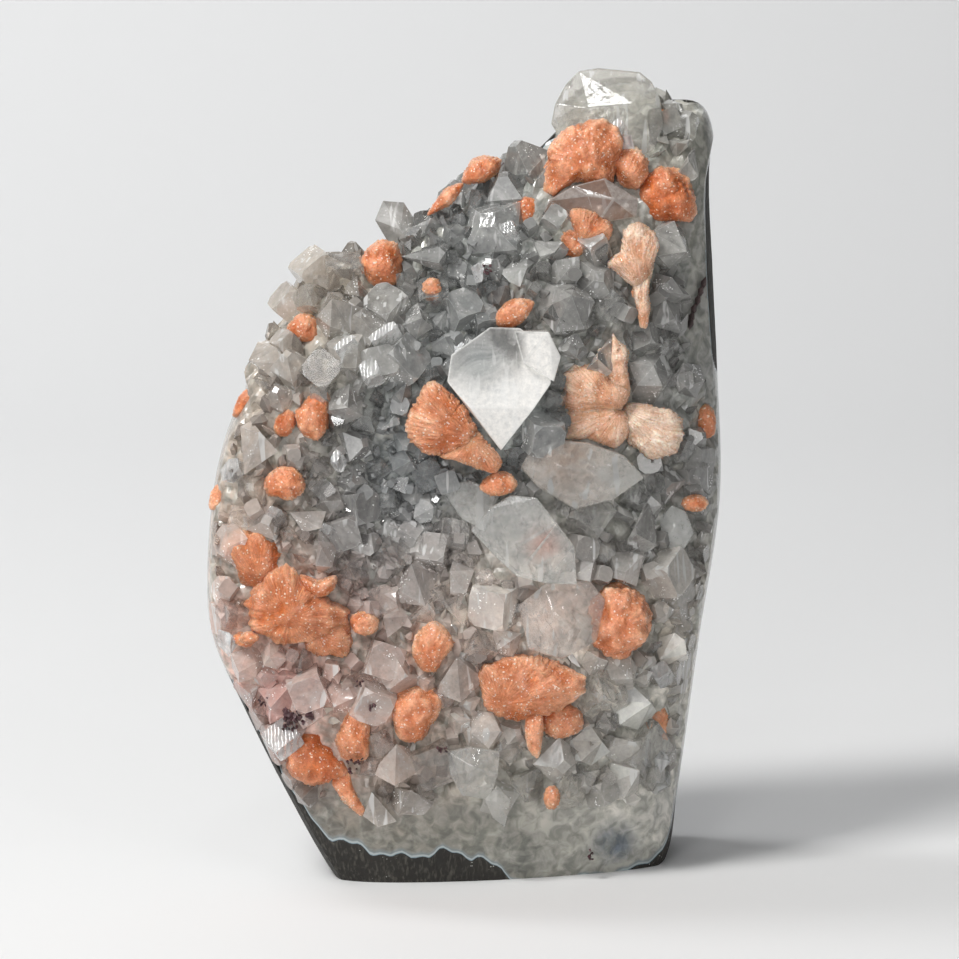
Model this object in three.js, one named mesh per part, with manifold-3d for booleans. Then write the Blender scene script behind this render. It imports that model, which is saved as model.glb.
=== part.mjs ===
// A cluster of apophyllite and peach stilbite on grey quartz, grown on a basalt matrix.
// The rock is ground round its edge and cut flat below, so that it stands upright.
// Millimetres, +Z up, the crystals face -Y. The origin is the middle of the flat cut base.
import * as THREE from "three";
import { mergeVertices } from "three/addons/utils/BufferGeometryUtils.js";
import Module from "manifold-3d";

const wasm = await Module();
wasm.setup();

// Driving dimensions of the rock
const CENTRE = [4, 92]; // x and z of the middle of the crystal face
const FACE_DEPTH = 31; // from the silhouette forwards to the bare crust
const CRYSTAL_RISE = 9; // how far the grinding lets crystals stand above the crust
const BACK_DEPTH = 33;
const SKEW = 0.22; // the left edge lies nearer the front than the right one
const SQUARENESS = 2.8; // superellipse power of the rock's section
const FLATNESS = 0.44; // depth of the rock over its width, which spaces its net evenly
const BED_NET = 7; // how often the crust's net of triangles is divided
const BED_TIPS = [-2.2, 3.4]; // how far the net's corners lie under and over the bare crust
const BED_FOOT = [24, 32]; // heights between which the smooth ground band turns into crystals
const GAP = 0.35; // clearance between a separate crystal and its seat

// The silhouette seen from the front, as x and z, clockwise from the left of the base
const LEFT_EDGE = [
  [-32, -1], [-43, 19], [-54, 42], [-61.5, 60], [-62.6, 74], [-60.7, 97], [-53, 121],
];
const CREST = [
  [-43, 137], [-33, 148], [-19, 152], [-8, 160], [5, 166], [17, 175], [30, 186], [46, 187],
];
const RIGHT_EDGE = [
  [56, 183], [59.4, 172], [60.4, 145], [61.6, 122], [62.5, 90], [57.4, 54], [52.3, 17], [49, -1],
];
const BELOW_BASE = [
  [34, -17], [6, -24], [-20, -16],
];
const OPEN_AIR = [
  [-64, 148], [-54, 176], [-20, 204], [20, 218], [52, 214], [62, 192],
];

// Where the face is hollow: x, z, radius and depth
const HOLLOWS = [
  [-13, 92, 19, 7],
  [-2, 146, 14, 3],
];

// The line where basalt shows below the crust at the front, as x and height
const FOOT_LINE = [
  [-62, 34], [-50, 17], [-38, 11], [-29, 8.5], [-16, 5.5], [-6, 7.5], [3, 6.5], [9, 1.5],
  [16, -3], [36, -3], [44, 3], [49, 9], [53, 16], [62, 34],
];
const FOOT_REACH = 30;
const FOOT_FALL = 9;
const CONTACT_DEPTH = 3; // how far behind the silhouette the crust ends
const BARE_STRIP = { x: 64, z: 146, reach: 18 };
const FRONT_LIMIT = 110; // beyond anything before the contact
const ROCK_HEIGHT = 230; // beyond the top of everything

// Colours and finishes
const BASALT = new THREE.MeshStandardMaterial({ color: 0x3a3833, roughness: 0.75 });
const QUARTZ = new THREE.MeshStandardMaterial({ color: 0x9a9fa0, roughness: 0.25 });
const APOPHYLLITE = new THREE.MeshStandardMaterial({ color: 0xd3d2cc, roughness: 0.12 });
const STILBITE = new THREE.MeshStandardMaterial({ color: 0xdc8455, roughness: 0.4 });

// Large apophyllite crystals that stand on the crust: the place on the face as x and z, the
// width across the prism, the rise over the bare crust, the share of the tip that the end
// face cuts off, the steepness of the tip, how far the axis leans right and up, and its turn.
const APOPHYLLITES = [
  ["apophyllite_center", [9, 122], { width: 22, rise: 15, cap: 0.62, slope: 1.3 }, [-0.32, 0.34], 45],
  ["apophyllite_below_center", [13, 94], { width: 23, rise: 16, cap: 0.12, slope: 0.8 }, [0.75, -0.75], 20],
  ["apophyllite_top", [33, 177.7], { width: 21, rise: 15, cap: 0.55, slope: 0.9 }, [-0.1, 1], 30],
  ["apophyllite_right_smooth", [27, 103], { width: 17, rise: 9, cap: 0.5, slope: 0.7 }, [0.5, 0.1], 12],
  ["apophyllite_low_smooth", [23, 69], { width: 18, rise: 9, cap: 0.55, slope: 0.7 }, [-0.2, 0.3], 40],
  ["apophyllite_upper_brown", [29, 167], { width: 13, rise: 11, cap: 0.3, slope: 0.9 }, [0.2, 0.25], 8],
  ["apophyllite_foot_white", [2, 31], { width: 10, rise: 8, cap: 0.25, slope: 1 }, [0.25, -0.45], 30],
  ["apophyllite_right_point", [50, 89], { width: 8, rise: 10, cap: 0.05, slope: 1 }, [0.1, -0.9], 45],
];
const APOPHYLLITE_ROOT = 5;

// Stilbite, at x and z on the face. lift is how far its middle lies over the bare crust. A
// ball gives half sizes along x, y and z. A fan gives the way it opens on the face, in
// degrees from +X, its length and its width.
const STILBITES = [
  { name: "stilbite_fan_center", at: [5, 107], lift: 7, fans: [[152, 19, 17], [192, 15, 12]] },
  { name: "stilbite_ball_below_center", at: [7.7, 98.5], ball: [4.3, 4, 2.9], lift: 10 },
  {
    name: "stilbite_spray_right", at: [38, 117], lift: 4,
    fans: [[172, 15, 13], [215, 15, 10], [98, 18, 9], [330, 15, 12]],
  },
  { name: "stilbite_ball_right", at: [36, 65], ball: [8, 7, 8.4], lift: 5 },
  { name: "stilbite_block_low", at: [14, 49], lift: 5, fans: [[185, 11, 15], [8, 15, 11]] },
  { name: "stilbite_block_tail", at: [22, 42.5], ball: [5.5, 4, 3], lift: 3 },
  { name: "stilbite_lower_center", at: [-13, 42.5], ball: [5.8, 5, 6.4], lift: 4 },
  { name: "stilbite_mid_left", at: [-8, 58.5], ball: [4.4, 4, 6], lift: 4 },
  { name: "stilbite_mass_left", at: [-40, 67], ball: [10.5, 8, 10], lift: 4 },
  { name: "stilbite_mass_upper", at: [-50, 77.5], ball: [7.5, 6, 7.5], lift: 2 },
  { name: "stilbite_mass_lower", at: [-28.5, 61], ball: [7, 5, 5], lift: 3 },
  { name: "stilbite_foot_left", at: [-36, 32.5], ball: [7, 5, 6.4], lift: 3 },
  { name: "stilbite_foot_tail", at: [-26.5, 25.5], ball: [3.4, 3, 5], lift: 1 },
  { name: "stilbite_foot_speckled", at: [-27.5, 37.5], ball: [4, 4, 6.6], lift: 2 },
  { name: "stilbite_left_ball", at: [-43.5, 98.5], ball: [4.8, 4.4, 4], lift: 3.5 },
  { name: "stilbite_left_upper", at: [-37, 114.5], ball: [3.8, 4, 5.4], lift: 3.5 },
  { name: "stilbite_left_chip", at: [-43.5, 113.5], ball: [2.6, 3, 3.4], lift: 5 },
  { name: "stilbite_edge_left", at: [-53, 117.5], ball: [4, 4, 4.4], lift: 1 },
  { name: "stilbite_edge_left_low", at: [-58, 94.5], ball: [3.6, 4, 4.6], lift: 1 },
  { name: "stilbite_shoulder", at: [-20.5, 147.5], ball: [4.9, 5, 5.2], lift: 3.5 },
  { name: "stilbite_shoulder_left", at: [-39, 133.5], ball: [3.7, 3.5, 3.6], lift: 2.5 },
  { name: "stilbite_crown_large", at: [27.5, 175], ball: [8.8, 7, 8.6], lift: 4 },
  { name: "stilbite_crown_mid", at: [38.8, 173.5], ball: [4.8, 4.6, 4.6], lift: 3 },
  { name: "stilbite_crown_right", at: [48.5, 168], ball: [7.4, 6, 6.2], lift: 3 },
  { name: "stilbite_upper_bow", at: [28, 158.5], lift: 4, fans: [[62, 7, 9], [242, 7, 9]] },
  { name: "stilbite_sheaf_right", at: [43, 139], lift: 6, fans: [[98, 22, 13], [278, 6, 6]] },
  { name: "stilbite_crown_chip", at: [14.8, 164.3], ball: [3.2, 3, 3.2], lift: 3 },
  { name: "stilbite_mid_chip", at: [11.8, 139.8], ball: [4.5, 3.6, 3], lift: 4 },
  { name: "stilbite_crest", at: [4, 167], ball: [4.6, 4.5, 3.2], lift: 1 },
  { name: "stilbite_crest_low", at: [-5, 161.5], ball: [4, 4, 3], lift: 1 },
  { name: "stilbite_edge_right", at: [56.5, 112.5], ball: [2.8, 3, 4], lift: 1 },
  { name: "stilbite_foot_right", at: [48, 41], ball: [3.4, 3, 4.4], lift: 1.5 },
];

// Crystals fused into the crust that stand out by their size: x, z, width, rise, lean right,
// lean up, turn
const LARGE_FUSED = [
  [-35, 148, 11, 12, -0.2, 0.9, 20], [-29, 139, 12, 8, 0.2, 0.2, 35], [-42, 138, 9, 9, -0.7, 0.6, 10],
  [-47, 128, 12, 8, -0.4, 0.1, 25], [-50, 108, 13, 7, -0.3, 0.1, 40], [-22, 129, 9, 7, 0.5, 0.4, 30],
  [-9, 152, 13, 8, -0.3, 0.3, 30], [-17, 160, 9, 10, -0.4, 0.9, 5], [18, 171, 10, 10, -0.3, 0.7, 0],
  [24, 139, 13, 8, -0.2, 0.1, 35], [50, 153, 13, 6, 0.3, 0.1, 30], [50, 180, 13, 7, 0.3, 0.4, 20],
  [41, 87, 13, 8, 0.0, 0.1, 20], [47, 72, 11, 7, 0.1, 0.1, 25], [40, 42, 12, 7, 0.1, 0.2, 40],
  [12, 28, 8, 7, 0.1, -0.6, 45], [-16, 30, 11, 6, -0.2, 0.1, 0], [2, 53, 11, 6, -0.1, -0.1, 15],
  [-45, 46, 11, 7, 0.1, 0.1, 5], [-56, 84, 11, 6, -0.1, -0.1, 25], [-36, 82, 12, 8, 0.3, -0.2, 35],
  [-12, 75, 13, 8, 0.1, -0.4, 40],
];
const PRISM_DEPTH = 6; // how far a fused crystal is rooted in the crust

const vector = (x, y, z) => new THREE.Vector3(x, y, z);
const radians = THREE.MathUtils.degToRad;
const mix = THREE.MathUtils.lerp;
const share = (index, step) => (index * step) % 1;

// A three.js geometry with its corners shared and nothing but places.
function merged(geometry) {
  const bare = geometry.clone();
  bare.deleteAttribute("normal");
  bare.deleteAttribute("uv");
  return mergeVertices(bare, 1e-3);
}

// A closed three.js geometry as a solid, and back.
function solidOf(geometry) {
  const { attributes, index } = merged(geometry);
  return new wasm.Manifold(new wasm.Mesh({
    numProp: 3,
    vertProperties: new Float32Array(attributes.position.array),
    triVerts: new Uint32Array(index.array),
  }));
}

function geometryOf(solid) {
  const mesh = solid.getMesh();
  const geometry = new THREE.BufferGeometry();
  geometry.setAttribute("position", new THREE.BufferAttribute(mesh.vertProperties, 3));
  geometry.setIndex(new THREE.BufferAttribute(mesh.triVerts, 1));
  return geometry.toNonIndexed();
}

// The largest piece of a solid that a cut may have split.
function largestPiece(solid) {
  return solid.decompose().reduce((a, b) => (b.volume() > a.volume() ? b : a));
}

function reshape(geometry, place) {
  const position = geometry.attributes.position;
  const point = vector(0, 0, 0);
  for (let i = 0; i < position.count; i += 1) {
    point.fromBufferAttribute(position, i);
    const moved = place(point, i);
    position.setXYZ(i, moved.x, moved.y, moved.z);
  }
  return geometry;
}

// Height on a line of [x, height] points, straight between them.
function along(line, x) {
  if (x <= line[0][0]) return line[0][1];
  for (let i = 1; i < line.length; i += 1) {
    const [x0, h0] = line[i - 1];
    const [x1, h1] = line[i];
    if (x <= x1) return mix(h0, h1, (x - x0) / (x1 - x0));
  }
  return line[line.length - 1][1];
}

const bump = (distance, radius) => Math.exp(-(distance * distance) / (2 * radius * radius));

// The rock as a pillow with the given silhouette. A ball gives its net: the ball's -Y pole
// becomes the middle of the crystal face, and its equator the silhouette.
function pillow(outline, frontDepth, backDepth, ball) {
  const silhouette = new THREE.CatmullRomCurve3(
    outline.map(([x, z]) => vector(x, 0, z)), true, "centripetal",
  );
  return reshape(ball, (point) => {
    const turn = (Math.atan2(point.z, -point.x) / (2 * Math.PI) + 1) % 1;
    const rim = silhouette.getPointAt(turn);
    const sideways = FLATNESS * Math.hypot(point.x, point.z);
    const forwards = Math.abs(point.y);
    const size = (sideways ** SQUARENESS + forwards ** SQUARENESS) ** (1 / SQUARENESS);
    const x = mix(CENTRE[0], rim.x, sideways / size);
    const z = mix(CENTRE[1], rim.z, sideways / size);
    const depth = forwards / size;
    const front = point.y < 0;
    const y = SKEW * x + depth * (front ? hollow(x, z) - frontDepth : backDepth + backWave(x, z));
    return vector(x, y, z);
  });
}

function hollow(x, z) {
  return HOLLOWS.reduce((sum, [hx, hz, radius, fall]) => (
    sum + fall * bump(Math.hypot(x - hx, z - hz), radius)
  ), 0);
}

function backWave(x, z) {
  return 1.8 * Math.sin(0.11 * x + 0.07 * z) + 1.4 * Math.sin(0.09 * z - 0.16 * x + 1);
}

function grown(points, by) {
  return points.map(([x, z]) => [mix(CENTRE[0], x, by), mix(CENTRE[1], z, by)]);
}

// How far back the crust reaches at x, z: the surface where it grew on the basalt. It comes
// forward where basalt shows, below the foot line and on the bare strip at the right edge.
function contact(x, z) {
  const wave = 2 * Math.sin(0.09 * z + 1) + 1.2 * Math.sin(0.13 * x + 0.05 * z);
  const strip = BARE_STRIP.reach * bump(x - BARE_STRIP.x, 7) * bump(z - BARE_STRIP.z, 17);
  const foot = FOOT_REACH * Math.exp(-(z - along(FOOT_LINE, x)) / FOOT_FALL);
  return SKEW * x + CONTACT_DEPTH + wave - strip - Math.min(foot, 3 * FOOT_REACH);
}

// A slab that fills the space before the contact surface, less a clearance behind.
function beforeContact(clearance) {
  const slab = new THREE.BoxGeometry(150, 2 * FRONT_LIMIT, ROCK_HEIGHT, 10, 1, 15)
    .translate(0, 0, ROCK_HEIGHT / 2 - 10);
  return solidOf(reshape(slab, ({ x, y, z }) => (
    vector(x, y > 0 ? contact(x, z) - clearance : -FRONT_LIMIT, z)
  )));
}

// The bare rock reaches a little past the ground form, which cuts it back at the sides and
// below, and leaves CRYSTAL_RISE free before the face and over the crest.
const ROCK_EDGE = [...grown(LEFT_EDGE, 1.03), ...CREST, ...grown(RIGHT_EDGE, 1.03), ...BELOW_BASE];
const GROUND_EDGE = [
  ...grown(LEFT_EDGE, 1.008), ...OPEN_AIR, ...grown(RIGHT_EDGE.slice(1), 1.008), ...BELOW_BASE,
];
const rockForm = pillow(ROCK_EDGE, FACE_DEPTH, BACK_DEPTH, new THREE.SphereGeometry(1, 32, 9));
const rock = solidOf(rockForm);
const baseCut = solidOf(new THREE.BoxGeometry(300, 300, 300).translate(0, 0, 150));
const groundForm = pillow(
  GROUND_EDGE, FACE_DEPTH + CRYSTAL_RISE, BACK_DEPTH + CRYSTAL_RISE,
  new THREE.SphereGeometry(1, 42, 8),
);
const ground = solidOf(groundForm).intersect(baseCut);

// The crust as it grew: an even net over the rock whose corners stand out or lie deep, so
// that its triangles are the faces of a bed of crystals.
function crystalBed() {
  const ball = new THREE.IcosahedronGeometry(1, BED_NET);
  const net = merged(pillow(ROCK_EDGE, FACE_DEPTH, BACK_DEPTH, ball));
  net.computeVertexNormals();
  const outward = net.attributes.normal;
  return solidOf(reshape(net, (point, i) => {
    const faces = THREE.MathUtils.smoothstep(Math.max(-outward.getY(i), outward.getZ(i)), 0.2, 0.6);
    const above = THREE.MathUtils.smoothstep(point.z, ...BED_FOOT);
    const rise = faces * above * mix(...BED_TIPS, share(i + 1, 0.6180339887));
    return point.add(vector(outward.getX(i), outward.getY(i), outward.getZ(i)).multiplyScalar(rise));
  }));
}

// The point of the bare face seen at x, z from the front, and the face's outward direction.
const faceMesh = new THREE.Mesh(rockForm, new THREE.MeshBasicMaterial({ side: THREE.DoubleSide }));
const pointer = new THREE.Raycaster();
function faceAt(x, z) {
  pointer.set(vector(x, -200, z), vector(0, 1, 0));
  const hit = pointer.intersectObject(faceMesh)[0];
  if (hit) return { point: hit.point, outward: hit.face.normal.clone() };
  const inwards = vector(mix(x, CENTRE[0], 0.03), 0, mix(z, CENTRE[1], 0.03));
  const nearest = faceAt(inwards.x, inwards.z);
  return { point: vector(x, nearest.point.y, z), outward: nearest.outward };
}

// Stands a geometry made along +Z on the face, its axis tipped from the face's direction.
function standOnFace(geometry, [x, z], [leanRight, leanUp], turn) {
  const { point, outward } = faceAt(x, z);
  const axis = outward.add(vector(0, -0.35, 0)).normalize();
  axis.add(vector(leanRight, 0, leanUp)).normalize();
  const upright = new THREE.Quaternion().setFromUnitVectors(vector(0, 0, 1), axis);
  geometry.rotateZ(radians(turn));
  geometry.applyQuaternion(upright);
  return geometry.translate(point.x, point.y, point.z);
}

// An apophyllite crystal: a square prism whose edges the four faces of a pyramid cut off,
// with a flat end where the tip is missing. Its axis is +Z and its seat is z = 0.
function squareCrystal({ width, rise, cap, slope, root }, place, grow = 0) {
  const edge = width / Math.SQRT2 + grow * Math.SQRT2;
  const apexOverEdge = edge * slope;
  const apex = rise + cap * apexOverEdge + grow * 1.5;
  const flatEnd = rise + grow;
  const prismTall = flatEnd + root;
  const pyramidTall = apex + root;
  const pyramidFoot = (pyramidTall / apexOverEdge) * edge * Math.SQRT2;
  const prism = new THREE.CylinderGeometry(edge, edge, prismTall, 4)
    .rotateX(Math.PI / 2).translate(0, 0, flatEnd - prismTall / 2);
  const pyramid = new THREE.ConeGeometry(pyramidFoot, pyramidTall, 4)
    .rotateX(Math.PI / 2).rotateZ(Math.PI / 4).translate(0, 0, apex - pyramidTall / 2);
  return solidOf(place(prism)).intersect(solidOf(place(pyramid)));
}

// A quartz crystal: six sides and a blunt six-sided tip.
function sixSidedCrystal({ width, rise }, place) {
  const radius = width / 2;
  const profile = [
    [0, -PRISM_DEPTH], [radius, -PRISM_DEPTH], [radius, 0.35 * rise], [0.18 * radius, rise], [0, rise],
  ];
  const lathe = new THREE.LatheGeometry(profile.map(([r, h]) => new THREE.Vector2(r, h)), 6);
  return solidOf(place(lathe.rotateX(Math.PI / 2)));
}

// One stilbite fan, opening along +Z from its narrow foot, flat in Y, with ribs.
function fanGeometry(length, width, thick, grow) {
  const profile = [[0, -0.02], [0.4, 0.18], [1, 0.8], [0.75, 1], [0, 1.03]];
  const ribs = 8;
  const lathe = new THREE.LatheGeometry(profile.map(([r, h]) => new THREE.Vector2(r, h)), ribs);
  const rib = (i) => (lathe.attributes.uv.getX(i) * ribs) % 2 < 0.5 ? 1 : 0.86;
  return reshape(lathe, (point, i) => vector(
    point.x * rib(i) * (width / 2 + grow),
    -point.z * rib(i) * (thick / 2 + grow),
    point.y * (length + grow) - grow / 2,
  ));
}

// A stilbite ball: a rounded lump of fans, its ribs running from pole to pole.
function ballGeometry([a, b, c], grow) {
  const ribs = a > 6 ? 10 : 6;
  const ball = new THREE.SphereGeometry(1, ribs, a > 6 ? 6 : 4);
  const rib = (i) => (ball.attributes.uv.getX(i) * ribs) % 2 < 0.5 ? 1.04 : 0.94;
  return reshape(ball, (point, i) => vector(
    point.x * rib(i) * (a + grow), point.y * (b + grow), point.z * rib(i) * (c + grow),
  ));
}

function stilbite({ at, ball, fans, lift }, grow) {
  const { point, outward } = faceAt(at[0], at[1]);
  const seat = point.addScaledVector(outward, lift - (ball ? ball[1] * 0.5 : 3));
  if (ball) return solidOf(ballGeometry(ball, grow).translate(seat.x, seat.y, seat.z));
  return fans.map(([toward, length, width]) => solidOf(
    fanGeometry(length, width, Math.min(8, 0.55 * width), grow)
      .rotateX(radians(12))
      .rotateY(radians(90 - toward))
      .translate(seat.x, seat.y, seat.z),
  )).reduce((a, b) => a.add(b));
}

function apophyllite([, at, form, lean, turn], grow) {
  const place = (g) => standOnFace(g, at, lean, turn);
  return squareCrystal({ ...form, root: APOPHYLLITE_ROOT + grow }, place, grow);
}

// The separate crystals, each cut clear of those already placed and ground at the edge.
const separate = [];
function seat(name, finish, shape) {
  let solid = shape(0).intersect(ground);
  for (const other of separate) solid = solid.subtract(other.hole);
  separate.push({ name, finish, solid: largestPiece(solid), hole: shape(GAP) });
}
for (const spec of STILBITES) seat(spec.name, STILBITE, (grow) => stilbite(spec, grow));
for (const spec of APOPHYLLITES) seat(spec[0], APOPHYLLITE, (grow) => apophyllite(spec, grow));

// The crust: the bed of crystals with the large ones, before the contact, ground with the rock.
function crystalCrust() {
  let crust = crystalBed();
  const stand = (spec, at, lean, turn, square) => {
    const place = (g) => standOnFace(g, at, lean, turn);
    crust = crust.add(square ? squareCrystal(spec, place) : sixSidedCrystal(spec, place));
  };
  LARGE_FUSED.forEach(([x, z, width, rise, right, up, turn], i) => {
    const spec = { width, rise, cap: 0.2 + 0.5 * share(i, 0.381966), slope: 0.9, root: PRISM_DEPTH };
    stand(spec, [x, z], [right, up], turn, i % 3 > 0);
  });
  crust = crust.intersect(ground).intersect(beforeContact(GAP));
  for (const { hole } of separate) crust = crust.subtract(hole);
  return largestPiece(crust);
}

function basaltMatrix() {
  let basalt = rock.intersect(ground).subtract(beforeContact(0));
  for (const { hole } of separate) basalt = basalt.subtract(hole);
  return largestPiece(basalt);
}

function named(name, solid, finish) {
  const mesh = new THREE.Mesh(geometryOf(solid), finish);
  mesh.name = name;
  return mesh;
}

const cluster = new THREE.Group();
cluster.add(named("basalt_matrix", basaltMatrix(), BASALT));
cluster.add(named("crystal_crust", crystalCrust(), QUARTZ));
for (const { name, solid, finish } of separate) cluster.add(named(name, solid, finish));

export default cluster;
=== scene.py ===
"""A cluster of apophyllite and peach stilbite on a crust of grey quartz, over a basalt matrix."""
import math
import random

import bmesh
import bpy
import numpy as np
from mathutils import Matrix, Vector, noise


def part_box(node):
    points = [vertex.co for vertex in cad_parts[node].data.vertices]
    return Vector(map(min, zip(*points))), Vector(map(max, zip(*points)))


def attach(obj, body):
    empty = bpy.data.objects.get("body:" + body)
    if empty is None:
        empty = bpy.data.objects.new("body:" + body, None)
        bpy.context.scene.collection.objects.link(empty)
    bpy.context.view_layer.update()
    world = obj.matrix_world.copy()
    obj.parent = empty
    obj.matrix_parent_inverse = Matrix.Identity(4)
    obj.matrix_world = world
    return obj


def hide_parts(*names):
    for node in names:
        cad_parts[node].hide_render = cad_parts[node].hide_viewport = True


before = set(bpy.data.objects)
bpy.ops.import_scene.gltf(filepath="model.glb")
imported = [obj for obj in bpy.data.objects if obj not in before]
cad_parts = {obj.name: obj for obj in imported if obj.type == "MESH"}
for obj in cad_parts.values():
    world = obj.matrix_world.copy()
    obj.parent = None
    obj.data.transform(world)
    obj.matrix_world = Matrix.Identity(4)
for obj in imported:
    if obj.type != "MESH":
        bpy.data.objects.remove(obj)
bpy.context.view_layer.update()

# Driving dimensions of the rock in millimetres, as in the part's source
MM = 0.001
CENTRE = np.array((4.0, 92.0))
FACE_DEPTH = 31.0
CRYSTAL_RISE = 9.0
BACK_DEPTH = 33.0
SKEW = 0.22
SQUARENESS = 2.8
FLATNESS = 0.44
LEFT_EDGE = [
    (-32, -1), (-43, 19), (-54, 42), (-61.5, 60), (-62.6, 74), (-60.7, 97), (-57.4, 110), (-53, 121),
]
CREST = [(-43, 137), (-33, 148), (-19, 152), (-8, 160), (5, 166), (17, 175), (30, 186), (46, 187)]
RIGHT_EDGE = [(56, 183), (59.4, 172), (60.4, 145), (61.6, 122), (62.5, 90), (57.4, 54), (52.3, 17), (49, -1)]
BELOW_BASE = [(34, -17), (6, -24), (-20, -16)]
CREST_TIPS = [
    (-49, 132), (-45, 140), (-41, 150), (-39, 154), (-29, 154), (-22, 155), (-17, 161), (-8, 163),
    (0, 171), (10, 175), (18, 181), (21, 185), (23, 191), (28, 196), (42, 196), (48, 190), (53, 187),
]
OPEN_AIR = [(-64, 148), (-54, 176), (-20, 204), (20, 218), (52, 214), (62, 192)]
HOLLOWS = [(-13, 92, 19, 7), (-2, 146, 14, 3)]
FOOT_LINE = [
    (-62, 34), (-50, 17), (-38, 11), (-29, 8.5), (-16, 5.5), (-6, 7.5), (3, 6.5), (9, 1.5),
    (16, -3), (42, -3), (48, 1), (52, 8), (62, 30),
]
FOOT_REACH = 30.0
FOOT_FALL = 9.0
CONTACT_DEPTH = 3.0
SIDE_CUT = 15  # how far the basalt comes forwards where the ground sides show it
BARE_STRIP = {"x": 64, "z": 146, "reach": 18}
POLISHED_STRIP = {"x": 61, "z": 154, "half_width": 12.5, "half_height": 38}
GROUND_BAND = (17.0, 27.0)  # heights between which the smooth ground band turns into crystals

draw = random.Random(1285)  # every random choice below comes from this one seed


def smoothstep(value, low, high):
    """0 at low and 1 at high, also where low is the larger."""
    share = np.clip((value - low) / (high - low), 0, 1)
    return share * share * (3 - 2 * share)


def bump(distance, radius):
    return np.exp(-(distance * distance) / (2 * radius * radius))


def grown(points, by):
    return [tuple(CENTRE + by * (np.array(point) - CENTRE)) for point in points]


# The rock's forms
def closed_curve(points, steps=60):
    """Points and their share of the length on a closed centripetal Catmull-Rom curve."""
    knots = np.array(points, float)
    runs = []
    for i in range(len(knots)):
        p0, p1, p2, p3 = (knots[(i + k) % len(knots)] for k in (-1, 0, 1, 2))
        t1 = np.linalg.norm(p1 - p0) ** 0.5
        t2 = t1 + np.linalg.norm(p2 - p1) ** 0.5
        t3 = t2 + np.linalg.norm(p3 - p2) ** 0.5
        t = np.linspace(t1, t2, steps, endpoint=False)[:, None]
        a1 = (t1 - t) / t1 * p0 + t / t1 * p1
        a2 = (t2 - t) / (t2 - t1) * p1 + (t - t1) / (t2 - t1) * p2
        a3 = (t3 - t) / (t3 - t2) * p2 + (t - t2) / (t3 - t2) * p3
        b1 = (t2 - t) / t2 * a1 + t / t2 * a2
        b2 = (t3 - t) / (t3 - t1) * a2 + (t - t1) / (t3 - t1) * a3
        runs.append((t2 - t) / (t2 - t1) * b1 + (t - t1) / (t2 - t1) * b2)
    line = np.vstack(runs + [knots[:1]])
    length = np.concatenate([[0], np.cumsum(np.linalg.norm(np.diff(line, axis=0), axis=1))])
    return line, length / length[-1]


class Pillow:
    """A closed rounded form with a silhouette seen from the front and a superellipse for its section.

    Its front lies at a known y for every x and z.
    """

    def __init__(self, outline, front, back):
        self.front, self.back = front, back
        self.line, self.share = closed_curve(outline)
        spokes = self.line - CENTRE
        angle = np.arctan2(spokes[:, 1], spokes[:, 0])
        order = np.argsort(angle)
        self.angle, self.reach = angle[order], np.linalg.norm(spokes, axis=1)[order]

    def mapped(self, directions):
        """The pillow's points in the directions of points on a ball."""
        x, y, z = directions.T
        turn = (np.arctan2(z, -x) / (2 * np.pi) + 1) % 1
        rim = np.stack([np.interp(turn, self.share, self.line[:, k]) for k in (0, 1)], axis=1)
        side, fore = FLATNESS * np.hypot(x, z), np.abs(y)
        size = (side ** SQUARENESS + fore ** SQUARENESS) ** (1 / SQUARENESS)
        flat = CENTRE + (side / size)[:, None] * (rim - CENTRE)
        depth = fore / size
        out = np.where(y < 0, hollow(*flat.T) - self.front, self.back + back_wave(*flat.T))
        return np.stack([flat[:, 0], SKEW * flat[:, 0] + depth * out, flat[:, 1]], axis=1)

    def spread(self, x, z):
        """How far out x, z lies: 1 is on the silhouette."""
        spokes = np.stack([x, z], axis=-1) - CENTRE
        angle = np.arctan2(spokes[..., 1], spokes[..., 0])
        reach = np.interp(angle, self.angle, self.reach, period=2 * np.pi)
        return np.linalg.norm(spokes, axis=-1) / reach

    def front_at(self, x, z):
        """The y of the form's front at x, z."""
        depth = np.clip(1 - self.spread(x, z) ** SQUARENESS, 0, 1) ** (1 / SQUARENESS)
        return SKEW * x + depth * (hollow(x, z) - self.front)

    def excess(self, places):
        """Below 1 inside the form and over 1 outside it."""
        x, y, z = places.T
        offset = y - SKEW * x
        deep = np.where(offset < 0, self.front - hollow(x, z), self.back + back_wave(x, z))
        return self.spread(x, z) ** SQUARENESS + np.abs(offset / deep) ** SQUARENESS

    def outward(self, places, step=0.6):
        """Unit directions away from the form at places on it."""
        slope = np.stack([
            self.excess(places + step * axis) - self.excess(places - step * axis) for axis in np.eye(3)
        ], axis=1)
        return slope / np.linalg.norm(slope, axis=1, keepdims=True)

    def held_in(self, places, inset):
        """Places, those outside the form moved straight in until they lie inset under its side."""
        x, y, z = places.T
        offset = np.abs(y - SKEW * x)
        deep = np.where(y < SKEW * x, self.front, self.back)
        limit = np.clip(1 - (offset / deep) ** SQUARENESS, 0.02, 1) ** (1 / SQUARENESS)
        spread = np.maximum(self.spread(x, z), 1e-6)
        scale = np.minimum(1, (limit - inset / 70) / spread)
        flat = CENTRE + scale[:, None] * (np.stack([x, z], axis=1) - CENTRE)
        return np.stack([flat[:, 0], y, flat[:, 1]], axis=1)


def hollow(x, z):
    return sum(fall * bump(np.hypot(x - hx, z - hz), radius) for hx, hz, radius, fall in HOLLOWS)


def back_wave(x, z):
    return 1.8 * np.sin(0.11 * x + 0.07 * z) + 1.4 * np.sin(0.09 * z - 0.16 * x + 1)


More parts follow.
